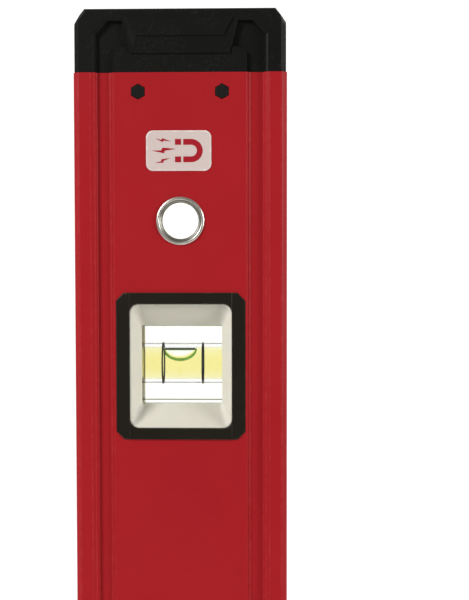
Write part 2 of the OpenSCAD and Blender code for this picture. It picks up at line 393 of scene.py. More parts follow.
def fillet(points: Sequence[Flat], radii: Sequence[float], steps: int = 4) -> list[Flat]:
    """Rounds the corners of a closed flat outline.

    Args:
        points: The outline's corners.
        radii: How far each round reaches from its corner; 0 leaves a corner sharp.
        steps: How many edges a round has.

    Returns:
        The outline with its rounds.
    """
    most = 0.45
    rounded: list[Flat] = []
    for i, (corner, reach) in enumerate(zip(points, radii)):
        at = Vector(corner)
        if reach <= 0:
            rounded.append(corner)
            continue
        before = Vector(points[i - 1]) - at
        after = Vector(points[(i + 1) % len(points)]) - at
        start = at + before.normalized() * min(reach, before.length * most)
        stop = at + after.normalized() * min(reach, after.length * most)
        for step in range(steps + 1):
            t = step / steps
            point = start * (1 - t) ** 2 + at * 2 * t * (1 - t) + stop * t ** 2
            rounded.append((point.x, point.y))
    return rounded


def ring_of(width: float, height: float, corner: float, y: float, cut: bool = False,
            steps: int = 8) -> list[Vector]:
    """A rectangle with round or cut corners, standing at one depth.

    Args:
        width: Its size along X.
        height: Its size along Z.
        corner: The radius of its corners, or how much is cut off.
        y: Its depth.
        cut: True for straight cuts.
        steps: How many edges a corner has.

    Returns:
        Its points, in the same order and number for every size.
    """
    points = []
    for quarter in range(4):
        sx = 1 if quarter in (0, 3) else -1
        sz = 1 if quarter in (0, 1) else -1
        for step in range(steps + 1):
            t = step / steps
            a = math.radians(90 * (quarter + t))
            if cut:
                share = t if quarter in (0, 2) else 1 - t
                off = Vector((corner * (1 - share) * sx, corner * share * sz))
                base = Vector(((width / 2 - corner) * sx, (height / 2 - corner) * sz))
                points.append(Vector((base.x + off.x, y, base.y + off.y)))
            else:
                x = (width / 2 - corner) * sx + corner * math.cos(a)
                z = (height / 2 - corner) * sz + corner * math.sin(a)
                points.append(Vector((x, y, z)))
    return points


def middle_of(node: str) -> Vector:
    """The middle of a CAD node's box."""
    low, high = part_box(node)
    return (low + high) / 2


def moved(points: Sequence[Vector], by: Vector) -> list[Vector]:
    """The points, all moved by the same step."""
    return [p + by for p in points]


# ---------- shared shader groups ----------


class Nodes:
    """A short way to write a node tree."""

    def __init__(self, tree: bpy.types.NodeTree) -> None:
        """Starts on the tree that gets the nodes."""
        self.tree = tree

    def add(self, kind: str, links: dict | None = None, **values: object) -> bpy.types.Node:
        """Adds a node.

        Args:
            kind: Its type, without the leading ShaderNode.
            links: What goes into its inputs: a socket to link or a plain value.
            values: Its own settings.

        Returns:
            The node.
        """
        node = self.tree.nodes.new("ShaderNode" + kind)
        for key, value in values.items():
            setattr(node, key, value)
        for key, value in (links or {}).items():
            if isinstance(value, bpy.types.NodeSocket):
                self.tree.links.new(value, node.inputs[key])
            else:
                node.inputs[key].default_value = value
        return node

    def maths(self, operation: str, *inputs: object) -> bpy.types.NodeSocket:
        """A Math node's result for one, two or three sockets or numbers."""
        return self.add("Math", dict(enumerate(inputs)), operation=operation).outputs[0]

    def spread(self, value: bpy.types.NodeSocket, low: float, high: float,
               to_low: float = 0.0, to_high: float = 1.0) -> bpy.types.NodeSocket:
        """A number carried from one range to another, and held there."""
        links = {"Value": value, "From Min": low, "From Max": high, "To Min": to_low, "To Max": to_high}
        return self.add("MapRange", links).outputs[0]

    def blend(self, share: object, first: object, second: object) -> bpy.types.NodeSocket:
        """A mix of two colours.

        Args:
            share: How much of the second, as a socket or a number.
            first: A colour or a socket.
            second: A colour or a socket.

        Returns:
            The mixed colour.
        """
        node = self.add("Mix", {0: share}, data_type="RGBA")
        for index, value in ((6, first), (7, second)):
            if isinstance(value, bpy.types.NodeSocket):
                self.tree.links.new(value, node.inputs[index])
            else:
                node.inputs[index].default_value = (*value, 1.0)
        return node.outputs[2]

    def noise(self, where: bpy.types.NodeSocket, scale: float, detail: float = 2.0,
              rough: float = 0.5) -> bpy.types.NodeSocket:
        """Plain noise, with its waves to the metre, its finer layers and how strong those are."""
        links = {"Vector": where, "Scale": scale, "Detail": detail, "Roughness": rough}
        return self.add("TexNoise", links).outputs["Fac"]

    def stretched(self, where: bpy.types.NodeSocket, scale: Point) -> bpy.types.NodeSocket:
        """Coordinates stretched along the axes, by a factor for each one."""
        return self.add("Mapping", {"Vector": where, "Scale": scale}).outputs[0]


def group(name: str, inputs: dict[str, float], outputs: Sequence[str],
          fill: Callable[[Nodes, dict], dict]) -> bpy.types.NodeTree:
    """A shader group that reads coordinates and puts out plain numbers.

    Args:
        name: The group's name.
        inputs: Its number inputs with their defaults.
        outputs: The names of its number outputs.
        fill: Builds its inside from its inputs and returns a socket for each output.

    Returns:
        The group.
    """
    tree = bpy.data.node_groups.new(name, "ShaderNodeTree")
    tree.interface.new_socket("Vector", in_out="INPUT", socket_type="NodeSocketVector")
    for key, value in inputs.items():
        socket = tree.interface.new_socket(key, in_out="INPUT", socket_type="NodeSocketFloat")
        socket.default_value = value
    for key in outputs:
        tree.interface.new_socket(key, in_out="OUTPUT", socket_type="NodeSocketFloat")
    entry = tree.nodes.new("NodeGroupInput")
    exit_ = tree.nodes.new("NodeGroupOutput")
    made = fill(Nodes(tree), {s.name: s for s in entry.outputs if s.name})
    for key, socket in made.items():
        tree.links.new(socket, exit_.inputs[key])
    return tree


def fill_grain(n: Nodes, given: dict) -> dict:
    """A moulded or sprayed surface: soft waves with a fine grain on them.

    Args:
        n: The group's nodes.
        given: The group's inputs.

    Returns:
        Height, and Pits, where the grain is low.
    """
    where = given["Vector"]
    fine = n.add("TexNoise", {"Vector": where, "Scale": given["Fine"], "Detail": 3.0, "Roughness": 0.6})
    wave = n.add("TexNoise", {"Vector": where, "Scale": given["Wave"], "Detail": 1.0, "Roughness": 0.4})
    cells = n.add("TexVoronoi", {"Vector": where, "Scale": given["Fine"]}, feature="SMOOTH_F1")
    grain = n.maths("MULTIPLY_ADD", cells.outputs["Distance"], 0.5, fine.outputs["Fac"])
    height = n.maths("MULTIPLY_ADD", wave.outputs["Fac"], given["Wave share"], grain)
    return {"Height": height, "Pits": n.spread(grain, 0.35, 0.6, 1.0, 0.0)}


def fill_handling(n: Nodes, given: dict) -> dict:
    """What hands leave: cloudy smudges and hair-fine scratches.

    Args:
        n: The group's nodes.
        given: The group's inputs.

    Returns:
        Smudge and Scratch, each from 0 to 1.
    """
    where = given["Vector"]
    cloud = n.noise(where, 38.0, 4.0, 0.6)
    smudge = n.maths("MULTIPLY", n.spread(cloud, 0.42, 0.72), given["Amount"])
    along = n.noise(n.stretched(where, (2600.0, 2600.0, 34.0)), 1.0, 1.0)
    across = n.noise(n.stretched(where, (60.0, 60.0, 3400.0)), 1.0, 1.0)
    fine = n.maths("MAXIMUM", n.spread(along, 0.7, 0.74), n.spread(across, 0.72, 0.76))
    patchy = n.maths("MULTIPLY", fine, n.spread(n.noise(where, 55.0), 0.5, 0.65))
    return {"Smudge": smudge, "Scratch": n.maths("MULTIPLY", patchy, given["Amount"])}


def fill_edges(n: Nodes, given: dict) -> dict:
    """Where rounds along edges get a lighter colour: partly wear, partly a painted highlight.

    Args:
        n: The group's nodes.
        given: The group's inputs.

    Returns:
        Wear and highlight, from 0 to 1.
    """
    edge = n.add("Attribute", attribute_name="edge").outputs["Fac"]
    broken = n.spread(n.noise(given["Vector"], 420.0, 4.0, 0.7), 0.46, 0.66, 0.25, 1.0)
    return {"Rub": n.maths("MULTIPLY", n.maths("MULTIPLY", edge, broken), given["Amount"])}


GRAIN = group("moulded grain", {"Fine": 3000.0, "Wave": 500.0, "Wave share": 0.5}, ("Height", "Pits"),
              fill_grain)
HANDLING = group("handling marks", {"Amount": 1.0}, ("Smudge", "Scratch"), fill_handling)
# Lighter rounds along edges are partly wear and partly a painted highlight.
EDGE_WEAR_AND_HIGHLIGHT = group("rubbed edges", {"Amount": 1.0}, ("Rub",), fill_edges)


# ---------- finishes ----------


@dataclass(frozen=True)
class Finish:
    """What every finish shares: a name and the record's slot that it stands for."""

    name: str
    slot: str

    def start(self) -> tuple[bpy.types.Material, Nodes, bpy.types.Node, bpy.types.NodeSocket]:
        """A fresh material.

        Returns:
            The material, its nodes, its Principled node and its object coordinates.
        """
        material = bpy.data.materials.new(self.name)
        material.use_nodes = True
        n = Nodes(material.node_tree)
        return material, n, material.node_tree.nodes["Principled BSDF"], n.add("TexCoord").outputs["Object"]

    def build(self) -> bpy.types.Material:
        """The finished material."""
        raise NotImplementedError


def bump(n: Nodes, shader: bpy.types.Node, height: bpy.types.NodeSocket, depth: float) -> None:
    """Gives a shader a bumpy surface, on which a height of one is so many metres."""
    node = n.add("Bump", {"Height": height, "Distance": depth, "Strength": 1.0})
    n.tree.links.new(node.outputs["Normal"], shader.inputs["Normal"])


@dataclass(frozen=True)
class Coated(Finish):
    """A sprayed, moulded or rubbery solid surface with grain, handling marks and edges lighter from wear and
    a painted highlight.
    """

    colour: Colour
    shift: Colour
    rubbed: Colour
    rough: float
    fine: float = 3000.0
    wave: float = 500.0
    wave_share: float = 0.5
    depth: float = 6e-6
    marks: float = 1.0
    rub: float = 0.4
    shine: float = 0.5
    under: float = 0.0
    flecks: float = 0.0

    def build(self) -> bpy.types.Material:
        """The finished material."""
        material, n, shader, where = self.start()
        waves = {"Fine": self.fine, "Wave": self.wave, "Wave share": self.wave_share}
        grain = n.add("Group", {"Vector": where, **waves}, node_tree=GRAIN)
        hands = n.add("Group", {"Vector": where, "Amount": self.marks}, node_tree=HANDLING)
        edges = n.add("Group", {"Vector": where, "Amount": self.rub}, node_tree=EDGE_WEAR_AND_HIGHLIGHT)
        tone = n.blend(n.spread(n.noise(where, 26.0, 3.0), 0.35, 0.65), self.colour, self.shift)
        dull = n.blend(n.maths("MULTIPLY", grain.outputs["Pits"], 0.3), tone,
                       tuple(0.6 * c for c in self.colour))
        # Narrow faces along edges take the lighter edge colour: partly wear, partly a painted highlight.
        worn_and_highlit = n.blend(edges.outputs["Rub"], dull, self.rubbed)
        if self.flecks > 0:
            spots = n.spread(n.noise(where, 1900.0, 1.0), 0.6, 0.68)
            cloudy = n.spread(n.noise(where, 130.0, 2.0), 0.42, 0.6)
            share = n.maths("MULTIPLY", n.maths("MULTIPLY", spots, cloudy), self.flecks)
            worn_and_highlit = n.blend(share, worn_and_highlit, self.rubbed)
        n.tree.links.new(worn_and_highlit, shader.inputs["Base Color"])
        smudged = n.maths("MULTIPLY_ADD", hands.outputs["Smudge"], -0.09, self.rough)
        scratched = n.maths("MULTIPLY_ADD", hands.outputs["Scratch"], 0.12, smudged)
        rough = n.maths("MULTIPLY_ADD", grain.outputs["Pits"], 0.05, scratched)
        n.tree.links.new(rough, shader.inputs["Roughness"])
        shader.inputs["Specular IOR Level"].default_value = self.shine
        if self.under > 0:
            shader.inputs["Subsurface Weight"].default_value = self.under
            shader.inputs["Subsurface Radius"].default_value = (1.0, 0.9, 0.7)
            shader.inputs["Subsurface Scale"].default_value = 1.2 * MM
        bump(n, shader, grain.outputs["Height"], self.depth)
        return material


@dataclass(frozen=True)
class Metal(Finish):
    """Bare or plated metal with fine tool marks, in lines or in rings round a centre in the level's face."""

    colour: Colour
    dark: Colour
    rough: float
    marks: Point = (900.0, 900.0, 900.0)
    centre: Point | None = None
    depth: float = 2e-6

    def build(self) -> bpy.types.Material:
        """The finished material."""
        material, n, shader, where = self.start()
        hands = n.add("Group", {"Vector": where, "Amount": 1.0}, node_tree=HANDLING)
        if self.centre:
            away = n.add("VectorMath", {0: where, 1: self.centre}, operation="SUBTRACT").outputs[0]
            flat = n.stretched(away, (1.0, 0.0, 1.0))
            radius = n.add("VectorMath", {0: flat}, operation="LENGTH").outputs["Value"]
            lines = n.add("TexNoise", {"W": n.maths("MULTIPLY", radius, self.marks[0]), "Scale": 1.0},
                          noise_dimensions="1D").outputs["Fac"]
        else:
            lines = n.noise(n.stretched(where, self.marks), 1.0, 3.0, 0.6)
        stain = n.spread(n.noise(where, 320.0, 4.0, 0.65), 0.42, 0.7)
        tone = n.blend(n.maths("MULTIPLY", stain, 0.5), self.colour, self.dark)
        n.tree.links.new(n.blend(n.maths("MULTIPLY", n.spread(lines, 0.5, 0.66), 0.4), tone, self.dark),
                         shader.inputs["Base Color"])
        shader.inputs["Metallic"].default_value = 1.0
        base = n.maths("MULTIPLY_ADD", lines, 0.16, self.rough)
        rough = n.maths("MULTIPLY_ADD", hands.outputs["Smudge"], 0.08, base)
        n.tree.links.new(rough, shader.inputs["Roughness"])
        bump(n, shader, lines, self.depth)
        return material


@dataclass(frozen=True)
class Clear(Finish):
    """A clear solid, liquid or gas, with a faint uneven tint.

    A rim colour, a painted dark outline, darkens it where its surface is seen edge on, from rim_at[0] to
    rim_at[1] of Facing.
    A lit one lets lamps shine through it onto what is behind.
    """

    tint: Colour
    deep: Colour
    ior: float = 1.0
    haze: float = 0.0
    rim: Colour | None = None
    rim_at: Flat = (0.42, 0.52)
    absorbs: Colour | None = None
    density: float = 0.0
    lit: bool = False

    def build(self) -> bpy.types.Material:
        """The finished material."""
        material, n, shader, where = self.start()
        tone = n.blend(n.spread(n.noise(where, 90.0), 0.3, 0.7), self.tint, self.deep)
        # The rim colour is a painted dark outline where the surface is seen edge on.
        if self.rim:
            facing = n.add("LayerWeight", {"Blend": 0.5}).outputs["Facing"]
            tone = n.blend(n.spread(facing, *self.rim_at), tone, self.rim)
        n.tree.links.new(tone, shader.inputs["Base Color"])
        rough = n.spread(n.noise(where, 700.0), 0.4, 0.8, 0.0, self.haze)
        n.tree.links.new(rough, shader.inputs["Roughness"])
        shader.inputs["IOR"].default_value = self.ior
        shader.inputs["Transmission Weight"].default_value = 1.0
        out = material.node_tree.nodes["Material Output"]
        if self.lit:
            through = n.add("BsdfTransparent", {"Color": (*self.tint, 1.0)})
            lamp_ray = n.add("LightPath").outputs["Is Shadow Ray"]
            both = n.add("MixShader", {0: lamp_ray, 1: shader.outputs[0], 2: through.outputs[0]})
            n.tree.links.new(both.outputs[0], out.inputs["Surface"])
        if self.absorbs:
            inside = n.add("VolumeAbsorption", {"Color": (*self.absorbs, 1.0), "Density": self.density})
            n.tree.links.new(inside.outputs["Volume"], out.inputs["Volume"])
        return material


@dataclass(frozen=True)
class Film(Finish):
    """The joint between two clear solids: next to nothing, but a painted dark line where it is seen edge on.
    """

    colour: Colour
    line: Colour
    weight: float
    line_at: Flat = (0.6, 0.74)

    def build(self) -> bpy.types.Material:
        """The finished material."""
        material, n, shader, where = self.start()
        # The line colour and the rise in alpha at grazing views are a painted line, in place of the light
        # that the wall bends.
        facing = n.spread(n.add("LayerWeight", {"Blend": 0.5}).outputs["Facing"], *self.line_at)
        n.tree.links.new(n.blend(facing, self.colour, self.line), shader.inputs["Base Color"])
        uneven = n.spread(n.noise(where, 300.0), 0.3, 0.7, 0.6, 1.0)
        alpha = n.maths("MULTIPLY_ADD", n.maths("MULTIPLY", facing, uneven), self.weight, 0.015)
        n.tree.links.new(alpha, shader.inputs["Alpha"])
        n.tree.links.new(n.spread(n.noise(where, 700.0), 0.3, 0.7, 0.2, 0.4), shader.inputs["Roughness"])
        return material


# Each coat's lighter edge colour goes on the narrow faces along edges: partly wear, partly a painted
# highlight.
RED_COAT = Coated("red powder coat", "red_coat", colour=(0.372, 0.0118, 0.0160),
                  shift=(0.355, 0.0108, 0.0150), rubbed=(0.50, 0.045, 0.045), rough=0.45,
                  fine=2600.0, wave=700.0, wave_share=0.7, depth=7e-6, rub=0.35, shine=0.13)
BLACK_SOFT = Coated("black soft cap", "black_soft", colour=(0.0052, 0.0052, 0.0046),
                    shift=(0.0064, 0.0062, 0.0056), rubbed=(0.02, 0.02, 0.019), rough=0.5,
                    fine=1500.0, wave=260.0, depth=40e-6, rub=0.5, shine=0.11, flecks=0.6)
# The frame's strong lighter edge colour paints highlight lines along its rounds and the creases of its
# flange.
FRAME_BLACK = Coated("black frame plastic", "frame_black", colour=(0.0108, 0.0084, 0.0046),
                     shift=(0.0124, 0.0098, 0.0058), rubbed=(0.065, 0.062, 0.055), rough=0.43, fine=3400.0,
                     depth=5e-6, rub=0.6, shine=0.2)
STUD_BLACK = Coated("black stud plastic", "stud_black", colour=(0.0070, 0.0066, 0.0054),
                    shift=(0.009, 0.0085, 0.007), rubbed=(0.035, 0.034, 0.03), rough=0.45,
                    fine=4200.0, depth=4e-6, rub=0.6, shine=0.2)
PALE_PLASTIC = Coated("pale bezel plastic", "pale_plastic", colour=(0.69, 0.665, 0.575),
                      shift=(0.66, 0.635, 0.545), rubbed=(0.80, 0.785, 0.72), rough=0.5,
                      fine=2200.0, depth=3e-6, marks=0.6, rub=0.5, shine=0.4, under=0.5)
DARK_CORE = Coated("dark moulded core", "dark_core", colour=(0.03, 0.03, 0.03), shift=(0.035, 0.035, 0.034),
                   rubbed=(0.06, 0.06, 0.06), rough=0.55)
PLUG_WHITE = Coated("white vial plug", "plug_white", colour=(0.80, 0.80, 0.62), shift=(0.77, 0.78, 0.58),
                    rubbed=(0.85, 0.85, 0.7), rough=0.5)
RING_INK = Coated("black ring ink", "ring_black", colour=(0.006, 0.006, 0.005), shift=(0.008, 0.008, 0.006),
                  rubbed=(0.01, 0.01, 0.01), rough=0.4)
# The rim line is a painted dark outline round the bubble's level surface.
PAINTED_RIM_LINE = Coated("bubble rim line", "bubble_gas", colour=(0.012, 0.024, 0.008), shift=(0.02, 0.035, 0.012),
                  rubbed=(0.02, 0.05, 0.015), rough=0.3)
LABEL_VINYL = Coated("label vinyl", "label_vinyl", colour=(0.655, 0.548, 0.507), shift=(0.625, 0.518, 0.48),
                     rubbed=(0.86, 0.755, 0.725), rough=0.38, fine=5200.0, depth=1.5e-6, rub=0.9, shine=0.3)
LABEL_INK = Coated("label ink", "label_vinyl", colour=(0.375, 0.0135, 0.021), shift=(0.345, 0.012, 0.023),
                   rubbed=(0.45, 0.06, 0.06), rough=0.36, fine=5200.0, depth=1e-6, shine=0.2)
TURNED = {"marks": (5200.0, 0.0, 0.0), "centre": (0.0, 0.0, 0.5392), "depth": 3e-6}
ROLLED = Metal("rolled aluminium", "bare_aluminium", colour=(0.78, 0.75, 0.68), dark=(0.34, 0.33, 0.28),
               rough=0.26, **TURNED)
# The inside copy is the same rolled metal made darker: painted shade inside the lip.
ROLLED_PAINTED_SHADE = Metal("rolled aluminium inside", "bare_aluminium", colour=(0.40, 0.39, 0.345),
                     dark=(0.13, 0.13, 0.11), rough=0.34, **TURNED)
PLATED = Metal("plated steel", "cup_steel", colour=(0.52, 0.52, 0.53), dark=(0.3, 0.3, 0.3), rough=0.3)
NICKEL = Metal("nickel plate", "magnet_nickel", colour=(0.66, 0.65, 0.62), dark=(0.42, 0.41, 0.39),
               rough=0.16)
WIRE = Metal("spring wire", "spring_steel", colour=(0.55, 0.55, 0.55), dark=(0.3, 0.3, 0.3), rough=0.25)
ACRYLIC = Clear("clear acrylic", "clear_acrylic", tint=(0.99, 1.0, 0.985), deep=(0.98, 0.995, 0.97), ior=1.49,
                haze=0.012, lit=True)
# The block's rounded edges are ground; their dark olive tint is a painted line along them.
ACRYLIC_EDGE = Clear("ground acrylic edge", "clear_acrylic", tint=(0.25, 0.27, 0.16), deep=(0.18, 0.20, 0.10),
                     ior=1.49, haze=0.3, lit=True)
# The bore's and the tube's walls show as painted lines where they are seen edge on.
BORE_WALL = Film("bore wall", "clear_acrylic", colour=(0.9, 0.92, 0.86), line=(0.5, 0.52, 0.45), weight=0.1)
TUBE_WALL = Film("vial tube", "clear_acrylic", colour=(0.9, 0.92, 0.86), line=(0.03, 0.03, 0.025), weight=0.5)
LIQUID = Clear("vial liquid", "vial_liquid", tint=(0.99, 0.98, 0.86), deep=(0.985, 0.975, 0.84),
               absorbs=(0.945, 0.865, 0.02), density=107.0)
LIQUID_LEVEL = Clear("liquid under the bubble", "vial_liquid", tint=(1.0, 1.0, 0.99), deep=(0.995, 1.0, 0.97))
# The bubble's green rim colour is a painted dark outline round its silhouette.
GAS = Clear("bubble gas", "bubble_gas", tint=(1.0, 1.0, 0.98), deep=(0.99, 1.0, 0.96), rim=(0.13, 0.34, 0.02))
# The level surface's grey tint is painted shade, a dark line along the bubble's flat top.
GAS_LEVEL = Clear("level surface", "bubble_gas", tint=(0.86, 0.85, 0.78), deep=(0.80, 0.79, 0.72))

_made: dict[str, bpy.types.Material] = {}


def dress(obj: bpy.types.Object, *finishes: Finish) -> None:
    """Puts finishes into an object's material slots.

    Args:
        obj: The piece or CAD node.
        finishes: One finish for each slot.
    """
    obj.data.materials.clear()
    for finish in finishes:
        if finish.name not in _made:
            _made[finish.name] = finish.build()
        obj.data.materials.append(_made[finish.name])


def hand_in(obj: bpy.types.Object, finishes: Sequence[Finish], *nodes: str, body: str = BODY,
            stretch: tuple[str, Vector, Vector] | None = None) -> None:
    """Dresses a finished piece and ties it to its body and the nodes that it stands for.

    Args:
        obj: The piece.
        finishes: Its finishes, one for each of its material slots.
        nodes: The CAD nodes that it replaces.
        body: The body that it rides on.
        stretch: A second body, and where the piece would begin to follow it and follow it wholly; when given,
            the place only goes into the mesh.
    """
    dress(obj, *finishes)
    if stretch:
        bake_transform(obj)
    else:
        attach(obj, body)
    if nodes:
        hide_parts(*nodes)
    LOG.info("made %s with %d faces", obj.name, len(obj.data.polygons))


# ---------- the body ----------


@dataclass
class Beam:
    """The powder-coated box section, drawn from its face's outline."""

    edge_round: float = 1.4 * MM
    rail_width: float = 6.7 * MM
    groove_width: float = 4.9 * MM
    groove_depth: float = 1.5 * MM
    web_drop: float = 0.5 * MM
    web_wall: float = 1.8 * MM
    edge_wall: float = 2.5 * MM
    groove_wall: float = 1.5 * MM
    rib: float = 1.6 * MM
    rib_inset: float = 0.2 * MM
    eyelet_hole: float = 6.05 * MM
    stud_hole: float = 4.0 * MM
    pocket: float = 6.55 * MM
    window_w: float = 35.2 * MM
    window_h: float = 40.4 * MM

    def face_line(self, half_w: float) -> list[tuple[float, float, float]]:
        """Half of the face's outline from the side inwards.

        Args:
            half_w: Half of the face's width.

        Returns:
            Distance from the middle, drop below the rail and reach of the round, for each corner.
        """
        rail_in = half_w - self.rail_width
        web = rail_in - self.groove_width
        bead = (self.groove_depth + self.web_drop) / 2
        return [
            (half_w, self.edge_round, 0.5 * MM),
            (half_w - self.edge_round, 0.0, 0.5 * MM),
            (rail_in + 1.7 * MM, 0.0, 0.25 * MM),
            (rail_in + 0.7 * MM, 0.35 * MM, 0.15 * MM),
            (rail_in + 0.35 * MM, 0.35 * MM, 0.14 * MM),
            (rail_in, self.groove_depth, 0.3 * MM),
            (web + 1.1 * MM, self.groove_depth, 0.25 * MM),
            (web + 0.8 * MM, bead, 0.12 * MM),
            (web + 0.3 * MM, bead, 0.1 * MM),
            (web, self.web_drop, 0.16 * MM),
        ]

    def section(self, half_w: float, half_d: float) -> list[Flat]:
        """The whole outer outline of the section.

        Args:
            half_w: Half of its width.
            half_d: Half of its depth.

        Returns:
            The rounded outline.
        """
        line = self.face_line(half_w)
        corners, radii = [], []
        for sx, sy, row in ((1, -1, line), (-1, -1, line[::-1]), (-1, 1, line), (1, 1, line[::-1])):
            for x, drop, reach in row:
                corners.append((sx * x, sy * (half_d - drop)))
                radii.append(reach)
        return fillet(corners, radii)

    def build(self) -> None:
        """Draws the section out, hollows it and cuts its windows and holes."""
        low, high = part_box("beam")
        half_w, half_d = high.x, high.y
        ends = [Vector((x, y, low.z)) for x, y in self.section(half_w, half_d)]
        beam = prism("beam_profile", ends, Vector((0, 0, high.z - low.z)))
        web = half_w - self.rail_width - self.groove_width
        chamber_w, chamber_d = web - self.rib_inset, half_d - self.web_drop - self.web_wall
        side_d = half_d - self.groove_depth - self.groove_wall
        past = 1 * MM
        self.cut_box(beam, (-chamber_w, -chamber_d, low.z - past), (chamber_w, chamber_d, high.z + past))
        for side in (-1, 1):
            near, far = side * (chamber_w + self.rib), side * (half_w - self.edge_wall)
            self.cut_box(beam, (min(near, far), -side_d, low.z - past),
                         (max(near, far), side_d, high.z + past))
        for vial in ("upper", "centre", "lower"):
            a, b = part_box(f"{vial}_vial_frame_front")
            z = (a.z + b.z) / 2
            self.cut_box(beam, (-self.window_w / 2, -half_d - past, z - self.window_h / 2),
                         (self.window_w / 2, half_d + past, z + self.window_h / 2))
        through = 4 * half_d
        hole = rod("hole", middle_of("hang_eyelet"), DEEP, self.eyelet_hole, through)
        combine(beam, hole, Cut.AWAY)
        for end in End:
            for place in ("left", "right"):
                at = StudPart(end, Side.FRONT, place).at
                combine(beam, hexagon("hole", at, self.stud_hole, through), Cut.AWAY)
        for height in magnet_places():
            edge = Vector((-half_w, 0, height))
            pocket = rod("pocket", edge, ACROSS, self.pocket, 2 * self.edge_wall + past)
            combine(beam, pocket, Cut.AWAY)
        shade(beam, rim=0.32 * MM)
        hand_in(beam, (RED_COAT,), "beam")

    @staticmethod
    def cut_box(solid: bpy.types.Object, low: Point, high: Point) -> None:
        """Cuts a box out of a solid."""
        combine(solid, block("cutter", low, high), Cut.AWAY)


def hexagon(name: str, middle: Vector, flats: float, length: float) -> bpy.types.Object:
    """A hexagonal bar along Y with its points up and down.

    Args:
        name: The piece's name.
        middle: Its centre.
        flats: Its width across the flats.
        length: Its length.

    Returns:
        The bar.
    """
    points = []
    for corner in range(6):
        angle = math.radians(60 * corner + 30)
        reach = flats / 2 / math.cos(math.radians(30))
        points.append(middle + Vector((reach * math.cos(angle), -length / 2, reach * math.sin(angle))))
    return prism(name, points, Vector((0, length, 0)))


def magnet_places(gap: float = 20 * MM) -> list[float]:
    """How high each magnet sits, from the clusters of vertices in the magnets' node.

    Args:
        gap: What is further apart than this belongs to two magnets.

    Returns:
        The middle height of each cluster, from the lowest up.
    """
    heights = sorted(v.co.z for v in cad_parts["magnets"].data.vertices)
    rows: list[list[float]] = [[heights[0]]]
    for z in heights[1:]:
        if z - rows[-1][-1] > gap:
            rows.append([])
        rows[-1].append(z)
    return [(row[0] + row[-1]) / 2 for row in rows]


# ---------- end caps ----------


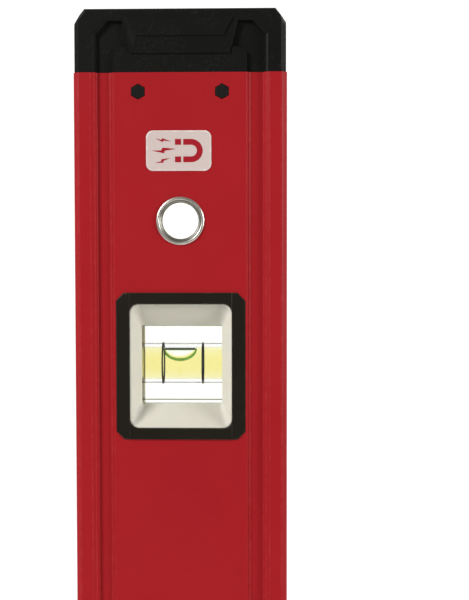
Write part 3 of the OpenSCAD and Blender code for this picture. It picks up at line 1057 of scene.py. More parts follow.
@dataclass
class EndCap:
    """The soft cover of one end, with its recess, its low panel and its raised boss."""

    end: End
    groove_depth: float = 1.5 * MM
    web_drop: float = 0.5 * MM
    edge_round: float = 1.4 * MM
    foot: float = 5.4 * MM
    rail_in: float = 24.5 * MM
    web: float = 19.2 * MM
    core: Point = (22.1 * MM, 7.1 * MM, 11.1 * MM)
    proud: float = 0.5 * MM
    inset: float = 0.1 * MM
    shoulder: Flat = (3.0 * MM, 3.8 * MM)
    shoulder_round: float = 0.9 * MM
    mouth: float = 0.35 * MM

    def boss_side(self, height: float) -> float:
        """Half of the boss's width at a height above the joint."""
        return 14.3 * MM + 0.26 * (height - self.foot)

    def build(self) -> None:
        """Models the cover at the upper end, then mirrors it if it is the lower one."""
        low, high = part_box(f"{self.end.label}_cap_cover")
        joint = low.z if self.end is End.UPPER else high.z
        tall, half_w, half_d = high.z - low.z, high.x, high.y - self.proud - self.inset
        cover = self.silhouette(tall, half_w, half_d)
        for side in Side:
            self.carve(cover, side, half_d + self.inset)
        w, d, h = self.core
        combine(cover, block("core", (-w, -d, -1 * MM), (w, d, h)), Cut.AWAY)
        tidy(cover)
        soften(cover, 0.22 * MM, 3, 7)
        only(cover)
        cover.data.transform(Matrix.Diagonal((1, 1, self.end.value, 1)))
        cover.data.transform(Matrix.Translation((0, 0, joint)))
        outward(cover)
        shade(cover, 30, rim=0.16 * MM)
        cover.name = f"{self.end.label}_cap_shell"
        hand_in(cover, (BLACK_SOFT,), f"{self.end.label}_cap_cover")

    def silhouette(self, tall: float, half_w: float, half_d: float) -> bpy.types.Object:
        """The plain block, with its cut shoulders and its rounded uprights.

        Args:
            tall: Its height.
            half_w: Half of its width.
            half_d: Half of its depth.

        Returns:
            The block, standing on the joint at height 0.
        """
        in_, down = self.shoulder
        face = [(-half_w, 0), (half_w, 0), (half_w, tall - down), (half_w - in_, tall),
                (in_ - half_w, tall), (-half_w, tall - down)]
        cover = prism("cover", [Vector((x, -half_d, z)) for x, z in face], Vector((0, 2 * half_d, 0)))
        near = 0.1 * MM

        def upright(edge: bmesh.types.BMEdge) -> bool:
            """Whether an edge runs up one of the two sides."""
            a, b = (v.co for v in edge.verts)
            return abs(a.x) > half_w - near and abs(b.x) > half_w - near and abs(a.z - b.z) > MM

        def on_shoulder(edge: bmesh.types.BMEdge) -> bool:
            """Whether an edge runs round the top in one face's plane."""
            a, b = (v.co for v in edge.verts)
            return min(a.z, b.z) > tall - down - 4 * near and abs(a.y - b.y) < 2 * MM

        with editing(cover):
            pick_edges(cover, upright)
            bpy.ops.mesh.bevel(offset=self.edge_round, segments=1)
            pick_edges(cover, on_shoulder)
            bpy.ops.mesh.bevel(offset=self.shoulder_round, segments=2)
        outward(cover)
        return cover

    def recess(self, mirror: int, grow: float) -> list[Flat]:
        """The outline of the recess on one half of a face.

        Args:
            mirror: 1 for the right half, -1 for the left one.
            grow: How much wider it is than its mouth.

        Returns:
            Its corners.
        """
        top = 14.7 * MM
        return [(mirror * x, z) for x, z in (
            (self.rail_in + grow, -MM), (self.rail_in + grow, 10.6 * MM + 0.4 * grow),
            (20.9 * MM + 0.5 * grow, top + 0.9 * grow), (self.boss_side(top), top + 0.9 * grow),
            (self.boss_side(7.6 * MM), 7.6 * MM), (17.0 * MM, 7.0 * MM),
            (self.web - 0.3 * MM, 6.0 * MM), (self.web, self.foot), (self.web, -MM))]

    def panel(self, mirror: int) -> list[Flat]:
        """The outline of the low panel under the boss on one half of a face.

        Args:
            mirror: 1 for the right half, -1 for the left one.

        Returns:
            Its corners.
        """
        side = self.web + 0.3 * MM
        return [(mirror * x, z) for x, z in (
            (side, -MM), (side, 5.6 * MM), (17.2 * MM, 7.4 * MM), (self.boss_side(7.9 * MM), 7.9 * MM),
            (self.boss_side(self.foot), self.foot), (-MM, self.foot), (-MM, -MM))]

    @staticmethod
    def boss(half_foot: float, half_top: float, foot: float, top: float) -> list[Flat]:
        """One level of the boss, which widens towards its top; all is in millimetres."""
        return [(-half_foot * MM, foot * MM), (half_foot * MM, foot * MM), (half_top * MM, top * MM),
                (-half_top * MM, top * MM)]

    def carve(self, cover: bpy.types.Object, side: Side, rail: float) -> None:
        """Cuts the recess and the panel into one face and raises the boss on it.

        Args:
            cover: The block.
            side: The face.
            rail: How far the rails stand from the middle.
        """
        front = side.value

        def at(points: Sequence[Flat], depth: float) -> list[Vector]:
            """The outline at a depth below the rails."""
            return [Vector((x, front * (rail - depth), z)) for x, z in points]

        for mirror in (1, -1):
            mouth, bottom = self.recess(mirror, 0), self.recess(mirror, -self.mouth)
            deep = loft("deep", [at(mouth, -MM), at(mouth, self.mouth), at(bottom, self.groove_depth)],
                        tube=False)
            combine(cover, deep, Cut.AWAY)
            wide, narrow = self.recess(mirror, 1.5 * MM), self.recess(mirror, 0.3 * MM)
            combine(cover, loft("lip", [at(wide, -0.2 * MM), at(narrow, self.mouth)], tube=False), Cut.AWAY)
            panel = prism("panel", at(self.panel(mirror), -MM), Vector((0, -front * (MM + self.web_drop), 0)))
            combine(cover, panel, Cut.AWAY)
        low = self.boss(14.15, 16.75, 5.55, 15.95)
        crease = self.boss(12.55, 15.2, 10.2, 15.5)
        flat = self.boss(12.4, 14.95, 10.4, 15.35)
        rows = [at(low, MM), at(low, 0.2 * MM), at(crease, -0.1 * MM), at(flat, -self.proud)]
        combine(cover, loft("boss", rows, tube=False), Cut.JOIN)


# ---------- snap studs ----------


@dataclass
class StudPart:
    """What one stud and its spring share: the end, the face and the place, "left" or "right"."""

    end: End
    side: Side
    place: str

    @property
    def stud(self) -> str:
        """The name of the stud's node and body."""
        return f"{self.end.label}_stud_{self.side.label}_{self.place}"

    @property
    def at(self) -> Vector:
        """Where the stud's axis crosses the level's middle plane."""
        middle = middle_of(self.stud)
        return Vector((middle.x, 0, middle.z))


@dataclass
class Stud(StudPart):
    """One hexagonal snap stud, with its shoulder and its stem."""

    flats: float = 3.7 * MM
    head: float = 2.1 * MM
    disc: Flat = (3.1 * MM, 1.0 * MM)
    stem: float = 1.3 * MM
    overlap: float = 0.1 * MM

    def build(self) -> None:
        """Models the stud and lets it ride on its own body."""
        low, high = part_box(self.stud)
        front = self.side.value
        tip, inner = (low.y, high.y) if front < 0 else (high.y, low.y)
        shoulder = tip - front * self.head
        radius, thick = self.disc
        head = hexagon("head", self.at + DEEP * ((tip + shoulder) / 2), self.flats, abs(tip - shoulder))
        with editing(head):
            pick_faces(head, lambda face: face.normal.y * front > 0.9)
            bpy.ops.mesh.inset(thickness=0.55 * MM, depth=0)
            bpy.ops.mesh.inset(thickness=0.12 * MM, depth=-0.1 * MM)
        soften(head, 0.13 * MM, 2, 40)
        disc = rod("disc", self.at + DEEP * (shoulder - front * thick / 2), DEEP, radius, thick, 48)
        soften(disc, 0.15 * MM, 2, 40)
        stem_from = shoulder - front * (thick - self.overlap)
        stem = rod("stem", self.at + DEEP * ((stem_from + inner) / 2), DEEP, self.stem,
                   abs(stem_from - inner), 32)
        soften(stem, 0.2 * MM, 2, 40)
        combine(disc, stem, Cut.JOIN)
        combine(head, disc, Cut.JOIN)
        outward(head)
        shade(head, rim=0.1 * MM)
        head.name = self.stud + "_piece"
        hand_in(head, (STUD_BLACK,), self.stud, body=self.stud)


@dataclass
class Spring(StudPart):
    """The coil behind one stud, from the cap plug's middle wall to the stud's shoulder."""

    radius: float = 2.1 * MM
    wire: float = 0.25 * MM
    turns: int = 5
    inner: float = 1.28 * MM

    def build(self) -> None:
        """Winds the wire into a coil at its stud."""
        node = f"{self.end.label}_stud_springs"
        front = self.side.value
        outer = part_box(node)[1].y - self.wire
        foot = (self.radius, front * self.inner, 0)
        bpy.ops.mesh.primitive_circle_add(vertices=12, radius=self.wire, location=foot)
        coil = named(self.stud + "_spring")
        place_in_mesh(coil)
        wind = coil.modifiers.new("wind", "SCREW")
        wind.axis = "Y"
        wind.screw_offset = front * (outer - self.inner) / self.turns
        wind.iterations = self.turns
        wind.steps = 24
        wind.render_steps = 24
        bpy.ops.object.modifier_apply(modifier=wind.name)
        with editing(coil):
            bpy.ops.mesh.select_all(action="SELECT")
            bpy.ops.mesh.fill_holes(sides=0)
        coil.data.transform(Matrix.Translation(self.at))
        outward(coil, 1e-6)
        shade(coil, 50)
        start, end = self.at + Vector((0, front * self.inner, 0)), self.at + Vector((0, front * outer, 0))
        hand_in(coil, (WIRE,), node, stretch=(self.stud, start, end))


# ---------- hang hole ----------


@dataclass
class Eyelet:
    """The sleeve in the hang hole, its flange rolled over both faces, made by spinning its section."""

    clear: float = 5.2 * MM
    inner_lip: float = 0.76 * MM
    lip_deep: float = 1.5 * MM
    sleeve: float = 0.8 * MM

    def section(self, outer: float, front: float) -> list[Flat]:
        """The closed section from the clear hole outwards.

        Args:
            outer: The flange's radius.
            front: How far the flange reaches from the middle.

        Returns:
            Radius and depth of each corner.
        """
        clear, step = self.clear, 0.6 * MM
        half = [(clear, 0.0), (clear, front - 1.7 * MM), (clear + 0.1 * MM, front - 1.1 * MM),
                (clear + 0.34 * MM, front - 0.66 * MM), (clear + 0.4 * MM, front - 0.72 * MM),
                (clear + 0.66 * MM, front - 0.42 * MM), (clear + 0.74 * MM, front - 0.54 * MM),
                (clear + 0.84 * MM, front - 0.16 * MM), (clear + 1.1 * MM, front),
                (clear + 1.36 * MM, front - 0.02 * MM), (outer - 0.12 * MM, front - 0.2 * MM),
                (outer, front - 0.42 * MM), (outer - 0.03 * MM, front - step),
                (clear + self.sleeve, front - step), (clear + self.sleeve, 0.0)]
        back = [(r, -y) for r, y in half[::-1][1:-1]]
        return half + back

    def build(self) -> None:
        """Spins the section round the hole's axis."""
        high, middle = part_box("hang_eyelet")[1], middle_of("hang_eyelet")
        section = self.section(high.x, high.y)
        points = fillet(section, [0.14 * MM] * len(section), 2)
        profile = [Vector((r, y, middle.z)) for r, y in points]
        eyelet = outline("hang_eyelet_rolled", profile, filled=False)
        with editing(eyelet):
            bpy.ops.mesh.select_all(action="SELECT")
            bpy.ops.mesh.spin(steps=96, angle=math.tau, center=middle, axis=(0, 1, 0))
        outward(eyelet, 1e-6)
        shade(eyelet, 50)
        hand_in(eyelet, (ROLLED, ROLLED_PAINTED_SHADE), "hang_eyelet")
        # Faces in the mouth of the hole, near each face, take the darker copy of the metal: painted shade.
        for face in eyelet.data.polygons:
            away = math.hypot(face.center.x - middle.x, face.center.z - middle.z)
            by_face = abs(face.center.y) > high.y - self.lip_deep
            face.material_index = 1 if by_face and away < self.clear + self.inner_lip else 0


# ---------- magnets ----------


@dataclass
class MagnetRow:
    """Steel cups and the magnets in them, flush with one working edge."""

    wall: float = 1.0 * MM
    slack: float = 0.05 * MM

    def build(self) -> None:
        """Models one cup and one magnet with rounded rims at each place."""
        low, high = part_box("magnet_cups")
        deep = high.x - low.x
        magnet_low, magnet_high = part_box("magnets")
        inner = magnet_high.y
        cups, magnets = [], []
        for z in magnet_places():
            cup = rod("cup", Vector(((low.x + high.x) / 2, 0, z)), ACROSS, high.y, deep)
            hollow = rod("hollow", Vector((low.x, 0, z)), ACROSS, inner + self.slack, 2 * (deep - self.wall))
            combine(cup, hollow, Cut.AWAY)
            soften(cup, 0.18 * MM, 2, 40)
            magnet = rod("magnet", Vector(((magnet_low.x + magnet_high.x) / 2, 0, z)), ACROSS, inner,
                         magnet_high.x - magnet_low.x)
            soften(magnet, 0.4 * MM, 3, 40)
            cups.append(cup)
            magnets.append(magnet)
        for name, parts, finish, node in (("magnet_cup_row", cups, PLATED, "magnet_cups"),
                                          ("magnet_row", magnets, NICKEL, "magnets")):
            row = join(name, parts)
            shade(row, 40)
            hand_in(row, (finish,), node)


# ---------- label ----------


@dataclass
class Label:
    """The magnet label: a vinyl plate with a horseshoe magnet and three sparks printed on it."""

    corner: float = 2.0 * MM
    print_height: float = 0.02 * MM
    bend: float = 3.34 * MM
    arm: float = 1.67 * MM

    def build(self) -> None:
        """Models the plate and the print on it."""
        low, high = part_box("magnet_label")
        middle = Vector(((low.x + high.x) / 2, low.y, (low.z + high.z) / 2))
        w, h = high.x - low.x, high.z - low.z
        shift = Vector((middle.x, 0, middle.z))
        rows = ((0, high.y), (0, low.y + 0.05 * MM), (0.14 * MM, low.y), (0.8 * MM, low.y))
        rings = [moved(ring_of(w - less, h - less, self.corner - less / 2, y), shift) for less, y in rows]
        plate = loft("magnet_label_plate", rings, tube=False)
        shade(plate, rim=0.5 * MM)
        hand_in(plate, (LABEL_VINYL,), "magnet_label")
        shapes = [self.horseshoe(), self.pole(1), self.pole(-1)]
        sparks = ((-4.5, 3.0, 2.4, -13), (-4.25, 0.1, 3.6, 2), (-4.55, -2.9, 2.45, 16))
        shapes += [self.spark(*spark) for spark in sparks]
        sunk, prints = 0.01 * MM, []
        for i, shape in enumerate(shapes):
            points = [middle + Vector((x, sunk, z)) for x, z in shape]
            prints.append(prism(f"shape_{i}", points, Vector((0, -self.print_height - sunk, 0))))
        ink = join("magnet_label_print", prints)
        outward(ink)
        shade(ink)
        hand_in(ink, (LABEL_INK,))

    def horseshoe(self) -> list[Flat]:
        """The bend and its two arms."""
        centre, start = 3.6 * MM, 1.33 * MM
        inner = self.bend - self.arm
        turns = [math.radians(90 - 180 * i / 24) for i in range(25)]
        outer_arc = [(centre + self.bend * math.cos(a), self.bend * math.sin(a)) for a in turns]
        inner_arc = [(centre + inner * math.cos(a), inner * math.sin(a)) for a in reversed(turns)]
        return [(start, self.bend), *outer_arc, (start, -self.bend), (start, -inner), *inner_arc,
                (start, inner)]

    def pole(self, sign: int) -> list[Flat]:
        """One pole, a square beyond the end of an arm.

        Args:
            sign: 1 for the upper arm, -1 for the lower one.

        Returns:
            Its corners.
        """
        left, right = -1.04 * MM, 0.72 * MM
        near, far = sign * (self.bend - self.arm), sign * self.bend
        return [(left, near), (right, near), (right, far), (left, far)]

    @staticmethod
    def spark(x: float, z: float, reach: float, tilt: float) -> list[Flat]:
        """A small zigzag spark.

        Args:
            x: Its middle along X, in millimetres.
            z: Its middle along Z, in millimetres.
            reach: Half of its length, in millimetres.
            tilt: How far it is turned, in degrees.

        Returns:
            Its corners.
        """
        a = math.radians(tilt)
        shape = [(-1.0, 0.02), (-0.22, 0.0), (-0.1, 0.22), (1.0, 0.07), (0.08, -0.03), (0.0, -0.24)]
        turned = [(u * math.cos(a) - v * math.sin(a), u * math.sin(a) + v * math.cos(a)) for u, v in shape]
        return [((x + reach * u) * MM, (z + reach * v) * MM) for u, v in turned]


# ---------- vial windows ----------


@dataclass
class Vial:
    """One vial with its window: two frames, two bezels, the block, the rings, the liquid and the bubble."""

    name: str
    along: bool
    opening: Flat = (29.6 * MM, 36.0 * MM)
    sleeve: Flat = (35.0 * MM, 40.2 * MM)
    bezel: Flat = (31.2 * MM, 37.6 * MM)
    corner: float = 2.6 * MM
    cut: float = 2.3 * MM
    steps: Flat = (0.12 * MM, 0.8 * MM)
    lip: float = 1.4 * MM
    bore: float = 6.0 * MM
    tube_r: float = 4.85 * MM
    surface: float = 4.2 * MM
    bowl: Point = (5.02 * MM, 5.0 * MM, 3.65 * MM)
    gas_gap: float = 0.12 * MM
    rim_thick: float = 0.21 * MM
    halves_apart: float = 0.01 * MM

    def build(self) -> None:
        """Makes every piece of the vial."""
        for side in Side:
            self.frame(side)
            self.funnel(side)
        self.block()
        self.tube()
        for word, sign in (("left", -1), ("right", 1)):
            self.liquid(word, sign)
        self.gas()
        self.meniscus()
        for node, finish in (("end_plugs", PLUG_WHITE), ("rings", RING_INK)):
            dress(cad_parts[f"{self.name}_vial_{node}"], finish)

    def __post_init__(self) -> None:
        """Reads the vial's middle and its bubble's place from the frame."""
        self.middle = middle_of(f"{self.name}_vial_block")
        away = middle_of(f"{self.name}_vial_bubble") - self.middle
        self.bubble_u = -away.z if self.along else away.x
        self.axis = self.turned(1, 0, 0) - self.middle

    def turned(self, u: float, y: float, w: float) -> Vector:
        """A point given along the bore, across the level and up out of the bore.

        Args:
            u: Distance along the bore.
            y: Depth.
            w: Height over the bore.

        Returns:
            The point in the row frame.
        """
        return self.middle + (Vector((w, y, -u)) if self.along else Vector((u, y, w)))

    def off_axis(self, point: Vector) -> Vector:
        """The part of a point's place that stands square to the bore."""
        away = point - self.middle
        return away - self.axis * away.dot(self.axis)

    def ringed(self, node: str, rows: Sequence[Sequence[Vector]]) -> bpy.types.Object:
        """A closed piece round the window, drawn through rings that are given about the middle.

        Args:
            node: The CAD node that it stands for.
            rows: Its rings, with the face towards +Y.

        Returns:
            The piece, still with its face towards +Y.
        """
        shift = Vector((0, 0, self.middle.z))
        return loft(node + "_piece", [moved(row, shift) for row in rows])

    @staticmethod
    def face_outwards(piece: bpy.types.Object, side: Side) -> None:
        """Turns a ringed piece to its side."""
        piece.data.transform(Matrix.Diagonal((1, side.value, 1, 1)))
        outward(piece)

    def frame(self, side: Side) -> None:
        """The black frame: a flange whose flanks fall away, and a sleeve behind it.

        Args:
            side: The face that it is on.
        """
        node = f"{self.name}_vial_frame_{side.label}"
        low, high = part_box(node)
        w, h = high.x - low.x, high.z - low.z
        top, back = (-low.y, -high.y) if side is Side.FRONT else (high.y, low.y)
        web = top - 0.5 * MM
        ow, oh = self.opening
        sw, sh = self.sleeve
        bw, bh = self.bezel
        pocket = self.corner + 0.8 * MM
        flange = ((0, web), (0, top - 0.16 * MM), (0.1 * MM, top - 0.05 * MM), (0.32 * MM, top))
        rows = [ring_of(w - less, h - less, self.cut, y, cut=True) for less, y in flange]
        rows += [
            ring_of(ow + 0.5 * MM, oh + 0.5 * MM, self.corner + 0.25 * MM, top),
            ring_of(ow + 0.15 * MM, oh + 0.15 * MM, self.corner + 0.07 * MM, top - 0.08 * MM),
            ring_of(ow, oh, self.corner, top - 0.25 * MM),
            ring_of(ow, oh, self.corner, web - 0.25 * MM),
            ring_of(bw + 0.2 * MM, bh + 0.2 * MM, pocket, web - 0.25 * MM),
            ring_of(bw + 0.2 * MM, bh + 0.2 * MM, pocket, back),
            ring_of(sw, sh, 0.8 * MM, back),
            ring_of(sw, sh, 0.8 * MM, web),
        ]
        piece = self.ringed(node, rows)
        self.slope(piece, top, ow / 2)
        self.face_outwards(piece, side)
        # Narrow faces, among them the strips at the flange's creases, get the frame's painted highlight
        # lines.
        shade(piece, 24, rim=0.3 * MM)
        hand_in(piece, (FRAME_BLACK,), node)

    def slope(self, piece: bpy.types.Object, top: float, crease: float) -> None:
        """Lets the flange's flanks fall away outside two creases.

        Args:
            piece: The frame, with its face towards +Y.
            top: The height of its face.
            crease: How far the creases are from the middle.
        """
        near, far = self.steps
        floor = top - 0.3 * MM
        with editing(piece):
            for x in (crease, crease + near, crease + far):
                for sign in (1, -1):
                    pick_faces(piece, lambda f: f.normal.y > 0.5 and f.calc_center_median().y > floor)
                    bpy.ops.mesh.bisect(plane_co=(sign * x, 0, 0), plane_no=(1, 0, 0))
            mesh = bmesh.from_edit_mesh(piece.data)
            for vertex in mesh.verts:
                past = abs(vertex.co.x) - crease
                if past > 1e-6 and vertex.co.y > floor:
                    steep = min(past, near)
                    gentle = min(past, far) - steep
                    vertex.co.y -= steep * 0.9 + gentle * 0.1 + max(past - far, 0) * 0.03
            bmesh.update_edit_mesh(piece.data)

    def funnel(self, side: Side) -> None:
        """The pale bezel: a rolled lip, a funnel down to the block and a sleeve round half of it.

        Args:
            side: The face that it is on.
        """
        node = f"{self.name}_vial_bezel_{side.label}"
        low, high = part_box(node)
        top = -low.y if side is Side.FRONT else high.y
        block_low, block_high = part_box(f"{self.name}_vial_block")
        size = block_high - block_low
        clear_w = size.x - (0 if self.along else 2 * self.lip)
        clear_h = size.z - (2 * self.lip if self.along else 0)
        pocket_w, pocket_h = size.x + 0.2 * MM, size.z + 0.2 * MM
        ledge = size.y / 2 + 0.1 * MM
        shell = 1.2 * MM
        bw, bh = self.bezel
        ow, oh = self.opening[0] - 0.4 * MM, self.opening[1] - 0.4 * MM
        r = self.corner
        rows = [
            ring_of(bw, bh, r + 0.8 * MM, top - 0.5 * MM),
            ring_of(bw - 0.2 * MM, bh - 0.2 * MM, r + 0.7 * MM, top - 0.1 * MM),
            ring_of(bw - 0.8 * MM, bh - 0.8 * MM, r + 0.4 * MM, top),
            ring_of(ow + 0.1 * MM, oh + 0.1 * MM, r, top - 0.04 * MM),
            ring_of(ow - 0.6 * MM, oh - 0.6 * MM, r - 0.25 * MM, top - 0.3 * MM),
            ring_of(ow - 0.9 * MM, oh - 0.9 * MM, r - 0.4 * MM, top - 0.7 * MM),
            ring_of(clear_w + 0.5 * MM, clear_h + 0.9 * MM, 1.1 * MM, ledge + 0.5 * MM),
            ring_of(clear_w, clear_h, 0.3 * MM, ledge + 0.12 * MM),
            ring_of(clear_w, clear_h, 0.3 * MM, ledge),
            ring_of(pocket_w, pocket_h, 0.3 * MM, ledge),
            ring_of(pocket_w, pocket_h, 0.3 * MM, 0.05 * MM),
            ring_of(pocket_w + 2 * shell, pocket_h + 2 * shell, 0.5 * MM, 0.05 * MM),
            ring_of(pocket_w + 2 * shell, pocket_h + 2 * shell, 0.5 * MM, ledge),
            ring_of(bw - 0.8 * MM, bh - 0.8 * MM, r + 0.4 * MM, top - 1.3 * MM),
            ring_of(bw, bh, r + 0.8 * MM, top - 1.2 * MM),
        ]
        piece = self.ringed(node, rows)
        self.face_outwards(piece, side)
        shade(piece, 38, rim=0.35 * MM)
        hand_in(piece, (PALE_PLASTIC,), node)

    def block(self) -> None:
        """The clear block with its bore, whose wall meets liquid and not air."""
        node = f"{self.name}_vial_block"
        low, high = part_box(node)
        piece = block(node + "_piece", low, high)
        soften(piece, 0.22 * MM, 2, 40)
        through = 40 * MM
        combine(piece, rod("bore", self.middle, self.axis, self.bore, through, 128), Cut.AWAY)
        shade(piece, 30)
        hand_in(piece, (ACRYLIC, BORE_WALL, ACRYLIC_EDGE), node)
        # Rounded edge faces take the ground edge finish, whose dark tint paints a line along them.
        for face in piece.data.polygons:
            inward = self.off_axis(face.center).dot(face.normal) < 0
            if inward and abs(face.normal.dot(self.axis)) < 0.1:
                face.material_index = 1
            elif max(abs(part) for part in face.normal) < 0.99:
                face.material_index = 2

    def tube(self) -> None:
        """The clear tube in the block's hole."""
        node = f"{self.name}_vial_tube"
        low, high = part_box(node)
        length = max(high.x - low.x, high.z - low.z)
        piece = rod(node + "_piece", self.middle, self.axis, high.y, length, 128)
        soften(piece, 0.15 * MM, 2, 40)
        combine(piece, rod("hollow", self.middle, self.axis, self.tube_r, 2 * length, 128), Cut.AWAY)
        shade(piece, 30)
        hand_in(piece, (TUBE_WALL, BORE_WALL), node)
        for face in piece.data.polygons:
            inward = self.off_axis(face.center).dot(face.normal) < -1e-6
            face.material_index = 1 if inward else 0

    def dish(self, name: str, grow: float, roof: float, wall: float) -> bpy.types.Object:
        """The bubble's bowl under its level surface, with an upright wall over it.

        Args:
            name: The piece's name.
            grow: How much larger than the bubble it is.
            roof: How high the wall reaches over the bore's middle.
            wall: Nothing reaches further than this from the bore's axis, below the roof.

        Returns:
            The closed solid.
        """
        a, b, c = (size + grow for size in self.bowl)
        levels = [(1.0, roof)] if roof > self.surface else []
        for step in range(15):
            angle = math.radians(6.2 * step)
            levels.append((math.cos(angle), self.surface - c * math.sin(angle)))
        rows = []
        for share, w in levels:
            side = math.sqrt(max(wall ** 2 - w ** 2, 0.0)) if wall else math.inf
            turns = [math.tau * i / 64 for i in range(64)]
            rows.append([self.turned(self.bubble_u + a * share * math.cos(t),
                                     max(-side, min(side, b * share * math.sin(t))), w) for t in turns])
        return loft(name, rows, tube=False)

    def liquid(self, word: str, sign: int) -> None:
        """One half of the liquid, from an end of the bore to the middle of the bubble.

        Args:
            word: The word for this half in its name.
            sign: The direction of this half along the bore.
        """
        node = f"{self.name}_vial_fluid"
        low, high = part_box(node)
        end = sign * max(high.x - low.x, high.z - low.z) / 2
        start = self.bubble_u + sign * self.halves_apart / 2
        middle = self.turned((start + end) / 2, 0, 0)
        piece = rod(f"{node}_{word}", middle, self.axis, self.tube_r - 0.04 * MM, abs(end - start), 96)
        combine(piece, self.dish("cavity", 0.02 * MM, self.bore + MM, 0.0), Cut.AWAY)
        outward(piece)
        shade(piece, 40)
        beside = self.bubble_u + sign * (self.bowl[0] + 0.05 * MM)
        hand_in(piece, (LIQUID, LIQUID_LEVEL), node,
                stretch=(f"{self.name}_bubble", self.turned(end, 0, 0), self.turned(beside, 0, 0)))
        near = 0.1 * MM
        for face in piece.data.polygons:
            along = (face.center - self.middle).dot(self.axis)
            off_wall = self.off_axis(face.center).length < self.tube_r - near
            off_ends = abs(along - start) > near and abs(along - end) > near
            face.material_index = 1 if off_wall and off_ends else 0

    def gas(self) -> None:
        """The bubble: a bowl of gas under a level surface."""
        node = f"{self.name}_vial_bubble"
        piece = self.dish(node + "_piece", 0.0, 0.0, self.tube_r - self.gas_gap)
        shade(piece, 50)
        hand_in(piece, (GAS, GAS_LEVEL), node, body=f"{self.name}_bubble")
        up = self.turned(0, 0, 1) - self.middle
        # The flat top takes the grey tint that paints a dark line along it.
        for face in piece.data.polygons:
            face.material_index = 1 if face.normal.dot(up) > 0.9 else 0

    def meniscus(self) -> None:
        """A painted dark line where the bubble's level surface meets the wall, an opaque ring in place of the
        light that the meniscus bends.
        """
        a, b, _ = self.bowl
        thick, rows = self.rim_thick, []
        side = math.sqrt((self.tube_r - self.gas_gap) ** 2 - self.surface ** 2)
        for i in range(64):
            t = math.tau * i / 64
            out = Vector((math.cos(t), math.sin(t)))
            row = []
            for j in range(8):
                k = math.tau * j / 8
                far = thick * math.cos(k)
                across = max(-side, min(side, b * out.y)) + (far - thick) * out.y
                row.append(self.turned(self.bubble_u + (a - thick + far) * out.x, across,
                                       self.surface + thick * math.sin(k)))
            rows.append(row)
        piece = loft(f"{self.name}_vial_bubble_rim", rows)
        shade(piece, 60)
        hand_in(piece, (PAINTED_RIM_LINE,), body=f"{self.name}_bubble")


# ---------- studio ----------


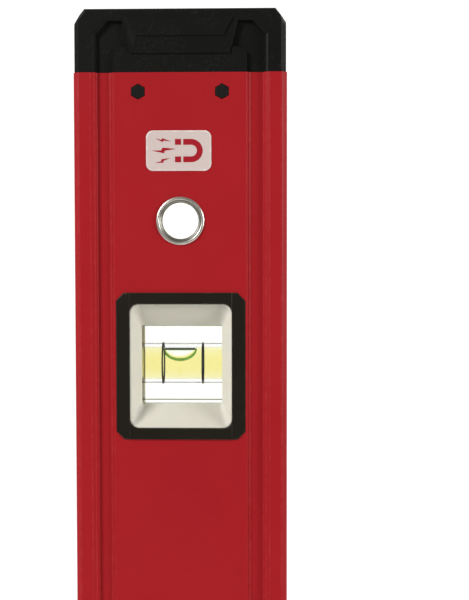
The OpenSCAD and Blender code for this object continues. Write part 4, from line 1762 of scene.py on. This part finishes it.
@dataclass
class Studio:
    """A pale floor, a white surround, soft lamps and the camera."""

    camera_at: Point = (0.0259, -0.3732, 0.5329)
    yaw: float = 0.0285
    pitch: float = -0.0459
    roll: float = -0.0014
    lens: float = 75.0
    look_at: Point = (0.0, 0.0, 0.4)
    floor_radius: float = 1.3

    def build(self) -> None:
        """Sets up everything round the object."""
        bpy.context.scene.view_settings.view_transform = "Standard"
        self.surround()
        self.floor()
        self.lamp("key", (-1.043, -0.815, 1.204), 0.4, 19.6)
        self.lamp("fill", (1.374, -0.556, 0.74), 0.5, 14.5)
        self.lamp("rear", (0.9, 1.1, 1.2), 0.7, 12.0)
        self.camera()

    def surround(self) -> None:
        """A world that is white to the eye and through clear parts, and a soft grey as a light."""
        world = bpy.data.worlds.new("studio")
        bpy.context.scene.world = world
        world.use_nodes = True
        n = Nodes(world.node_tree)
        path = n.add("LightPath")
        towards = n.add("SeparateXYZ", {0: n.add("TexCoord").outputs["Generated"]}).outputs["Y"]
        sides = n.spread(towards, -0.35, 0.35, 0.2, 0.5)
        sweep = n.maths("MAXIMUM", sides, n.spread(towards, 0.8, 0.95, 0.0, 2.2))
        seen = n.maths("MAXIMUM", path.outputs["Is Camera Ray"], path.outputs["Is Transmission Ray"])
        strength = n.add("Mix", {"Factor": seen, "A": sweep, "B": 1.12}).outputs[0]
        back = world.node_tree.nodes["Background"]
        back.inputs["Color"].default_value = (1.0, 0.995, 0.98, 1.0)
        world.node_tree.links.new(strength, back.inputs["Strength"])

    def floor(self) -> None:
        """A pale disc that fades out into the white."""
        bpy.ops.mesh.primitive_circle_add(vertices=128, radius=self.floor_radius, fill_type="NGON")
        disc = named("studio_floor")
        material = bpy.data.materials.new("pale floor")
        material.use_nodes = True
        n = Nodes(material.node_tree)
        shader = material.node_tree.nodes["Principled BSDF"]
        where = n.add("TexCoord").outputs["Object"]
        away = n.add("VectorMath", {0: where}, operation="LENGTH").outputs["Value"]
        shade_of = n.blend(n.noise(where, 14.0, 3.0), (0.86, 0.86, 0.85), (0.88, 0.88, 0.87))
        n.tree.links.new(shade_of, shader.inputs["Base Color"])
        shader.inputs["Roughness"].default_value = 0.7
        n.tree.links.new(n.spread(away, 0.35, self.floor_radius * 0.92, 1.0, 0.0), shader.inputs["Alpha"])
        disc.data.materials.append(material)

    def lamp(self, name: str, at: Point, size: float, power: float) -> None:
        """A soft square lamp that looks at the middle of the level.

        Args:
            name: Its name.
            at: Where it stands.
            size: Its side.
            power: Its power in watts.
        """
        light = bpy.data.lights.new(name, "AREA")
        light.size = size
        light.energy = power
        lamp = bpy.data.objects.new(name, light)
        lamp.location = at
        lamp.rotation_euler = (Vector(at) - Vector(self.look_at)).to_track_quat("Z", "Y").to_euler()
        bpy.context.scene.collection.objects.link(lamp)

    def camera(self) -> None:
        """The camera, close to the upper end and a little above the plumb vial."""
        data = bpy.data.cameras.new("camera")
        data.lens = self.lens
        data.sensor_width = 36.0
        data.clip_start = 0.01
        level = math.cos(self.pitch)
        ahead = Vector((-math.sin(self.yaw) * level, math.cos(self.yaw) * level, math.sin(self.pitch)))
        camera = bpy.data.objects.new("camera", data)
        camera.rotation_mode = "QUATERNION"
        camera.location = self.camera_at
        roll = Matrix.Rotation(self.roll, 3, "Z").to_quaternion()
        camera.rotation_quaternion = ahead.to_track_quat("-Z", "Y") @ roll
        bpy.context.scene.collection.objects.link(camera)
        bpy.context.scene.camera = camera


def main() -> None:
    """Builds the level piece by piece, then the studio."""
    logging.basicConfig(level=logging.INFO, format="%(message)s")
    Beam().build()
    for end in End:
        EndCap(end).build()
        for side in Side:
            for place in ("left", "right"):
                Stud(end, side, place).build()
                Spring(end, side, place).build()
        dress(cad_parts[f"{end.label}_cap_plug"], DARK_CORE)
    Eyelet().build()
    MagnetRow().build()
    Label().build()
    for name, along in (("upper", False), ("centre", True), ("lower", False)):
        Vial(name, along).build()
    Studio().build()


if __name__ == "__main__":
    main()
